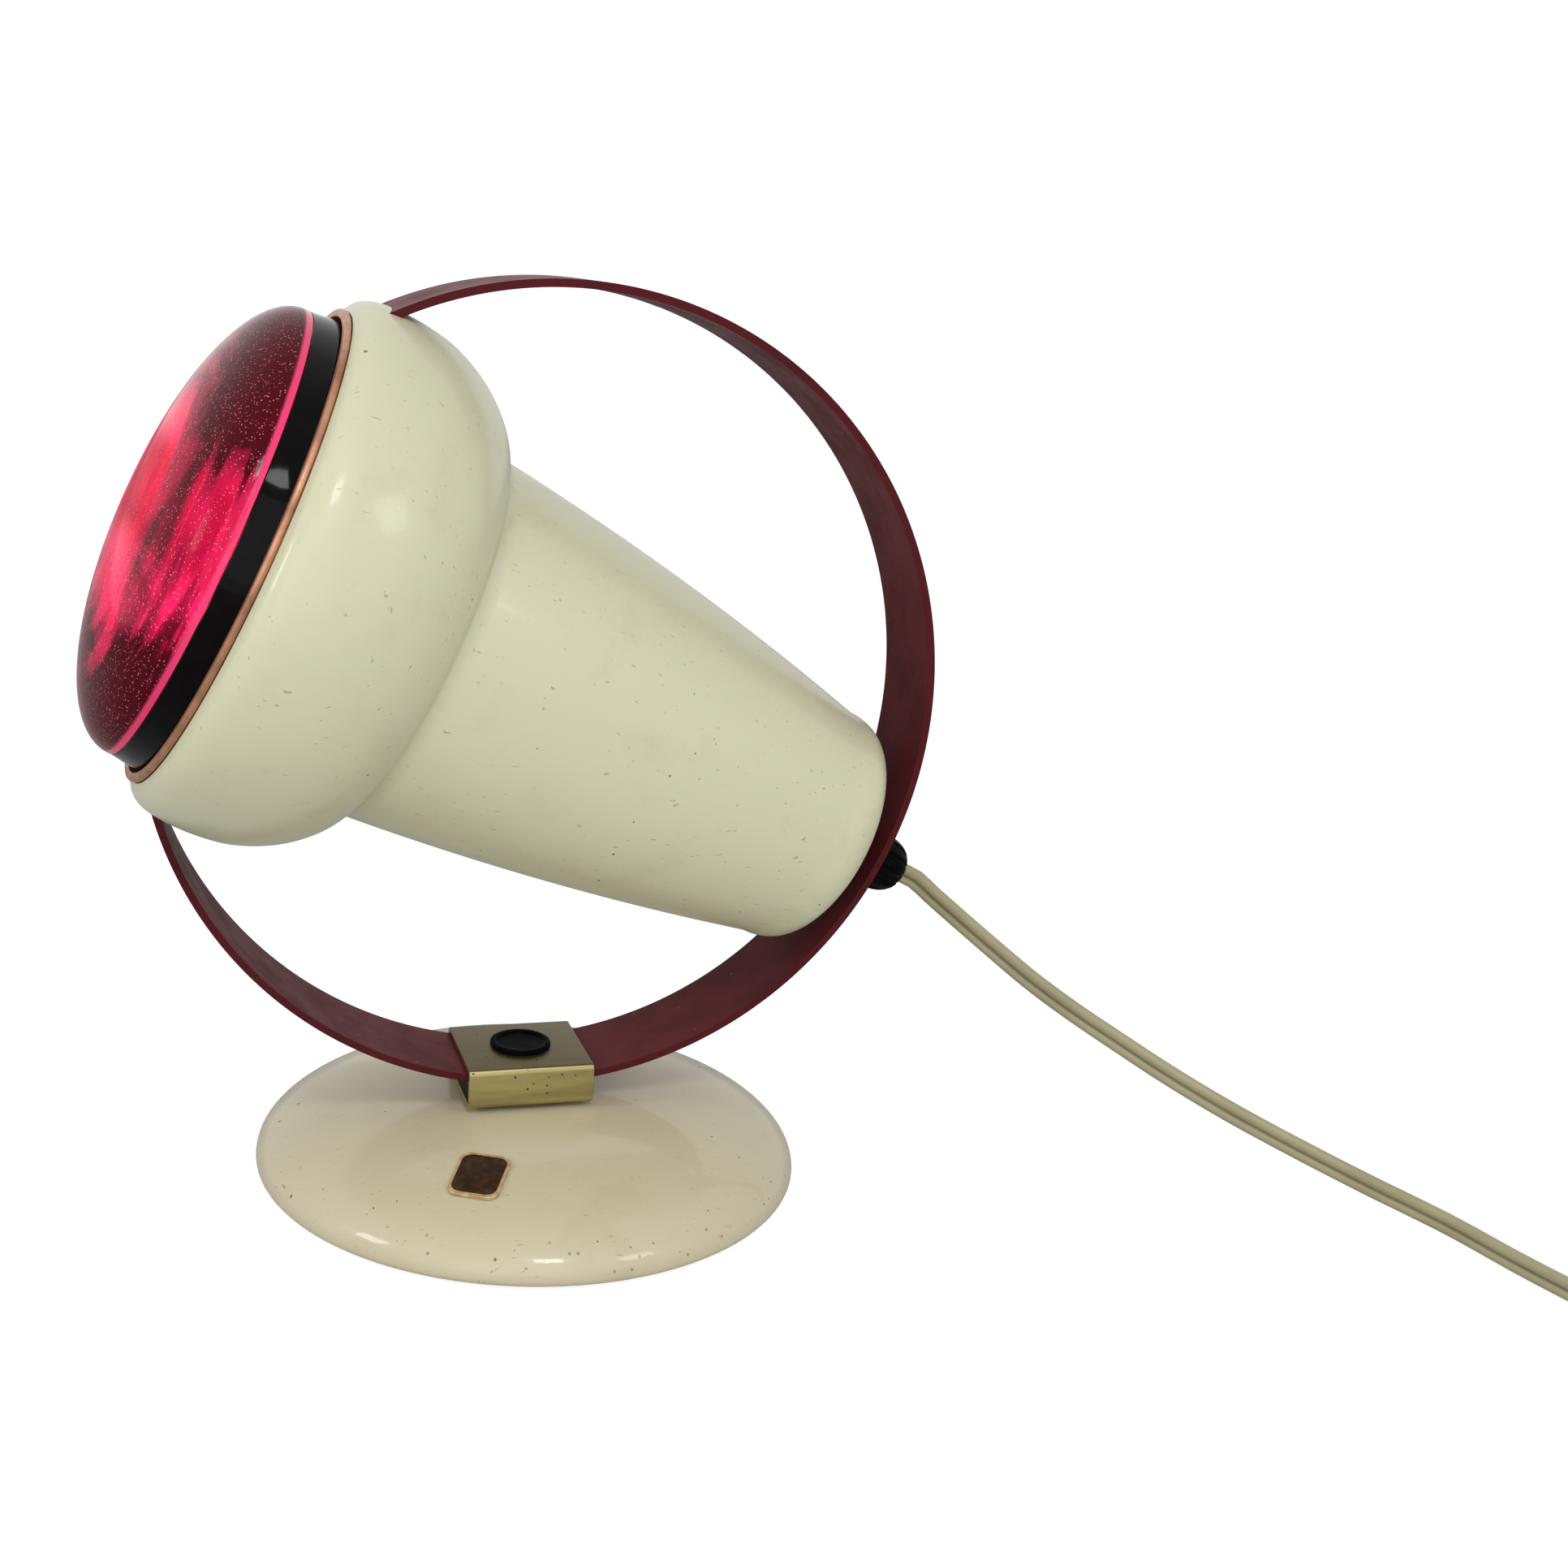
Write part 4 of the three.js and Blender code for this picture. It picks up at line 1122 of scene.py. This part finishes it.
bronze = Paint("bronze", Metallic=0.75, IOR=1.5)
height = bronze.along(origin, (0, 0, 1))
front = bronze.along(origin, (0, -1, 0))
# The top face is painted darker than the front: painted shade.
shaded_top = height.ramp(35.0 * mm, 35.8 * mm)
grain = bronze.noise(240, 3, 0.5, at=bronze.stretched((0.15, 1, 1)))
colour = bronze.mix(shaded_top, shade_of(166, 155, 100), shade_of(90, 76, 48))
colour = bronze.mix(grain.ramp(0.35, 0.7) * 0.45, colour, shade_of(112, 100, 64))
# A pale line along the top front edge: a painted highlight.
edge_highlight = height.ramp(35.3 * mm, 35.6 * mm) * front.ramp(16.0 * mm, 16.4 * mm)
colour = bronze.mix(edge_highlight * 0.8, colour, shade_of(226, 216, 168))
pits = bronze.specks(520, 0.24, 0.24).most(bronze.specks(230, 0.14, 0.2))
colour = bronze.mix(pits * 0.85, colour, shade_of(52, 44, 30))
bronze.set(
    Base_Color=colour,
    Roughness=0.34 + 0.2 * grain,
    Normal=bronze.bump(grain - pits * 0.6, 0.00006),
)
bronze.on(saddle)
print("hoop and saddle done")

# %% Small parts
rubber = Paint("button_dark", Specular_IOR_Level=0.01, IOR=1.4)
scuff = rubber.noise(180, 4, 0.6).ramp(0.4, 0.75)
colour = rubber.mix(scuff * 0.4, shade_of(6, 8, 7), shade_of(22, 27, 25))
rubber.set(
    Base_Color=colour,
    Roughness=0.3 + 0.25 * scuff,
    Normal=rubber.bump(rubber.noise(700, 2), 0.00004),
)
rubber.on(button)

black = Paint("black_moulded", Specular_IOR_Level=0.03)
dull = black.noise(220, 3, 0.6)
black.set(
    Base_Color=black.mix(dull.ramp(0.3, 0.8), shade_of(4, 4, 5), shade_of(16, 15, 15)),
    Roughness=0.25 + 0.3 * dull,
    Normal=black.bump(black.noise(1500, 2), 0.00003),
)
black.on(knob, relief, plug, tie)
paint_nodes(black, "collar", "shoe_left", "shoe_right", "glide_washer", "bulb_insulator")

metal = aged(
    "plated_metal",
    grain=(300, 3, 0.6),
    first=(196, 190, 176),
    second=(140, 134, 122),
    rough=0.22,
    rougher=0.25,
    Metallic=1.0,
)
paint_nodes(metal, "pivot_screw", "spacer_tube", "lock_washer", "pivot_nut")
paint_nodes(metal, "nipple", "back_nut")

yellow = aged(
    "brass_parts",
    grain=(260, 4, 0.6),
    first=(214, 184, 110),
    second=(150, 120, 66),
    rough=0.2,
    rougher=0.3,
    Metallic=1.0,
)
yellow.on(*pins)
paint_nodes(yellow, "bulb_cap", "bulb_contact", "socket_shell", "centre_contact")
paint_nodes(yellow, "terminal_live", "terminal_return")

iron = aged(
    "cast_plate",
    grain=(500, 4, 0.7),
    first=(52, 52, 54),
    second=(80, 78, 76),
    rough=0.55,
    rougher=0.3,
    bump=0.0002,
)
paint_nodes(iron, "base_plate")

pad = aged(
    "pad_felt",
    grain=(1800, 5, 0.8),
    first=(60, 50, 43),
    second=(92, 80, 70),
    rough=0.85,
    rougher=0.1,
    bump=0.0003,
)
paint_nodes(pad, "foot_pad")

glaze = aged(
    "ceramic",
    grain=(60, 3),
    first=(236, 232, 222),
    second=(214, 208, 196),
    rough=0.2,
    rougher=0.15,
    IOR=1.5,
)
paint_nodes(glaze, "holder_body")

copper = aged(
    "copper_lip",
    grain=(120, 4, 0.6),
    first=(190, 138, 106),
    second=(146, 98, 74),
    between=(0.35, 0.75),
    rough=0.28,
    rougher=0.25,
    bump=0.00004,
    Metallic=0.55,
)
copper.on(liner)
print("small parts done")

# %% Plate and lead
border = aged(
    "plate_border",
    grain=(500, 3),
    first=(206, 180, 134),
    second=(182, 134, 90),
    between=(0.3, 0.7),
    rough=0.3,
    rougher=0.2,
    Metallic=0.2,
)
face_paint = aged(
    "plate_face",
    grain=(300, 4, 0.6),
    first=(46, 29, 17),
    second=(76, 50, 32),
    between=(0.4, 0.8),
    rough=0.22,
    rougher=0.2,
    Specular_IOR_Level=0.12,
)
badge.data.materials.append(border.material)
badge.data.materials.append(face_paint.material)

milky = Paint("milky_lead", Specular_IOR_Level=0.3)
tone = milky.noise(40, 3).ramp(0.3, 0.75)
colour = milky.mix(tone * 0.6, shade_of(176, 169, 134), shade_of(150, 141, 108))
# The groove between the two cores is painted darker: painted shade.
kept_groove = milky.node("Attribute", {"attribute_name": "groove"}, output="Fac")
groove = kept_groove.ramp(0.5, 0.95)
colour = milky.mix(groove * 0.85, colour, shade_of(70, 64, 44))
milky.set(
    Base_Color=colour,
    Roughness=0.3 + 0.2 * tone,
    Subsurface_Weight=0.15,
    Subsurface_Scale=0.003,
    Normal=milky.bump(milky.noise(600, 2), 0.00003),
)
milky.on(lead)
paint_nodes(milky, "core_live", "core_return")
print("plate and lead done")

# %% [markdown]
# ## Ruby glass
# The front lets through some of what is behind it. Its bright streaks, blotches and glow are
# painted light, the glow given a little as emission, and its darker top and bottom are painted
# shade. Real refraction needs many more samples to come clean, so a clear and a solid surface are
# mixed. The pattern is set out in the head's own directions: how far in front of the glass's rear
# it lies, how far up and how far across.

# %% Ruby front
ruby = Paint(
    "ruby_front",
    Specular_IOR_Level=0.06,
    Coat_Roughness=0.02,
    Roughness=0.1,
    Emission_Strength=0.36,
)
rise = ruby.along(hoop_centre, head_axis) - glass_rear * mm
level = ruby.along(hoop_centre, head_up)
across = ruby.along(hoop_centre, (0, 1, 0))
rim = 1 - rise.ramp(1.1 * mm, 2.1 * mm)

# Streaks and blotches of painted light; the streaks also set where the glass is clear.
stretch = 0.06
flow = ruby.node("CombineXYZ", X=rise, Y=level * stretch, Z=across * stretch)
light_streak = ruby.noise(280, 4, 0.6, at=flow, distortion=0.5).ramp(0.4, 0.6)
light_blotches = ruby.noise(34, 5, 0.6, distortion=0.8).ramp(0.38, 0.66)
# A painted glow across the middle, and painted shade at the top and the bottom.
glow_height, clearing_height = -2 * mm, 7 * mm
glow = 1 - abs(level - glow_height).ramp(14 * mm, 44 * mm)
glow = glow * (1 - rise.ramp(9 * mm, 17 * mm) * 0.4)
upper_gloom = level.ramp(6 * mm, 30 * mm) * (1 - rise.ramp(8 * mm, 17 * mm))
lower_gloom = (-1 * level).ramp(9 * mm, 27 * mm) * (1 - rise.ramp(9 * mm, 16 * mm))
gloom = upper_gloom.most(lower_gloom)
light_share = glow * 0.75 + light_streak * 0.8 + light_blotches * 0.55 - gloom * 0.85 - 0.5
light_share = light_share.most(0).least(1)
dust = ruby.specks(1100, 0.22, 0.7).most(ruby.specks(560, 0.12, 0.5))
dust = dust.most(ruby.specks(1700, 0.24, 0.4))

# Dark to bright pink by the painted light, and the same painted light again as emission.
colour = ruby.mix(light_share, shade_of(86, 5, 24), shade_of(250, 34, 100))
colour = ruby.mix(dust * 0.68, colour, shade_of(255, 150, 160))
colour = ruby.mix(rim, colour, shade_of(246, 66, 122))
lit = ruby.mix(light_share * (1 - rim * 0.5), (0, 0, 0), colour)
ruby.set(Base_Color=colour, Emission_Color=lit, Coat_Weight=0.05 + 0.25 * rim)

clearing = (1 - abs(level - clearing_height).ramp(7 * mm, 17 * mm)) * light_streak
solid_share = (0.76 - clearing * 0.5 + rim * 0.25 + dust * 0.25).least(0.97)
clear = ruby.node("BsdfTransparent", Color=(0.98, 0.3, 0.42, 1))
ruby.join(solid_share, clear, ruby.surface)
ruby.on(bulb_front)
print("ruby front done")

# %% [markdown]
# The shell behind it is a mirror on its inner side. Its outer side is the black band that shows
# beside the shade's lip. A shader could tell the sides by their direction, but it would change as
# the head turns, so each face is given the finish of its own side.

# %% Bulb shell and wires
mirror = Paint("mirror_shell", IOR=1.5, Metallic=0.9)
reach = mirror.along(hoop_centre, head_axis)
swept = mirror.node("CombineXYZ", X=reach, Y=mirror.along(hoop_centre, head_up) * 0.2)
# Bright and dark bands along the mirror: painted reflections.
reflection_bands = mirror.noise(160, 3, 0.6, at=swept).ramp(0.35, 0.65)
mirror.set(
    Base_Color=mirror.mix(reflection_bands, shade_of(110, 20, 40), shade_of(255, 190, 205)),
    Roughness=0.14 + 0.06 * reflection_bands,
)
band = aged(
    "bulb_band",
    grain=(90, 3, 0.6),
    first=(5, 3, 4),
    second=(14, 9, 10),
    between=(0.4, 0.8),
    rough=0.04,
    rougher=0.03,
    Specular_IOR_Level=0.07,
)
reflector.data.materials.append(mirror.material)
reflector.data.materials.append(band.material)
for face in reflector.data.polygons:
    offset = face.center - hoop_centre
    from_axis = offset - head_axis * offset.dot(head_axis)
    face.material_index = 1 if face.normal.dot(from_axis) > 0 else 0

hot = Paint("wire", Metallic=1.0, Roughness=0.3)
hot.set(Base_Color=hot.mix(hot.noise(900, 3), shade_of(240, 200, 120), shade_of(150, 110, 70)))
paint_nodes(hot, "filament", "support_a", "support_b", "support_c")
press = Paint("inner_glass", Roughness=0.1, Alpha=0.4)
colour = press.mix(press.noise(300, 2), shade_of(240, 220, 210), shade_of(200, 170, 160))
press.set(Base_Color=colour)
paint_nodes(press, "bulb_press")
print("bulb done")

# %% [markdown]
# ## Table and light
# A white table under a white backdrop. Three small windows give the sharp highlights and one large
# light in front fills the shadows. A bright backdrop alone would light the lamp evenly and flatten
# it, so the camera and the reflections see it white, while it lights the lamp only dimly.

# %% Table and backdrop
table_half = 12
bm = bmesh.new()
bmesh.ops.create_grid(bm, x_segments=1, y_segments=1, size=table_half)
floor = new_object("floor", bm)
table = Paint("table", Roughness=0.6)
dull_white, clean_white = (0.6, 0.6, 0.6), (0.62, 0.62, 0.62)
table.set(Base_Color=table.mix(table.noise(3, 2), dull_white, clean_white))
seen = table.node("LightPath", output="Is Camera Ray")
white = table.node("Emission", Color=(1, 1, 1, 1), Strength=1.9)
table.join(seen * 0.45, table.surface, white)
table.on(floor)

world = bpy.data.worlds.new("studio")
world.use_nodes = True
nodes, links = world.node_tree.nodes, world.node_tree.links
dim, bright = nodes["Background"], nodes.new("ShaderNodeBackground")
for backdrop, strength in ((dim, 0.38), (bright, 1.0)):
    backdrop.inputs["Color"].default_value = (1, 1, 1, 1)
    backdrop.inputs["Strength"].default_value = strength
rays = nodes.new("ShaderNodeLightPath").outputs
two_rays = nodes.new("ShaderNodeMath")
all_rays = nodes.new("ShaderNodeMath")
all_rays.use_clamp = True
pick = nodes.new("ShaderNodeMixShader")
for source, target in (
    (rays["Is Camera Ray"], two_rays.inputs[0]),
    (rays["Is Glossy Ray"], two_rays.inputs[1]),
    (two_rays.outputs[0], all_rays.inputs[0]),
    (rays["Is Transmission Ray"], all_rays.inputs[1]),
    (all_rays.outputs[0], pick.inputs["Fac"]),
    (dim.outputs[0], pick.inputs[1]),
    (bright.outputs[0], pick.inputs[2]),
    (pick.outputs[0], nodes["World Output"].inputs["Surface"]),
):
    links.new(source, target)
bpy.context.scene.world = world
print("table and backdrop done")


# %% Lights
def soft_light(name, place, target, size, power):
    data = bpy.data.lights.new(name, "AREA")
    data.size, data.energy = size, power
    light = bpy.data.objects.new(name, data)
    bpy.context.scene.collection.objects.link(light)
    aim = (Vector(target) - Vector(place)).to_track_quat("-Z", "Y")
    light.matrix_world = Matrix.Translation(place) @ aim.to_matrix().to_4x4()


middle, bell_front = (0, 0, 0.1), (-0.09, -0.05, 0.19)
soft_light("window", (0.72, -0.95, 0.85), middle, size=0.3, power=2.2)
soft_light("second_window", (0, -0.95, 1.14), middle, size=0.24, power=4)
soft_light("side_window", (-1.24, -0.23, 0.78), bell_front, size=0.3, power=4)
soft_light("fill", (-0.5, -1.6, 0.5), middle, size=1.6, power=9.2)
bpy.context.scene.view_settings.view_transform = "Standard"
print("lights done")
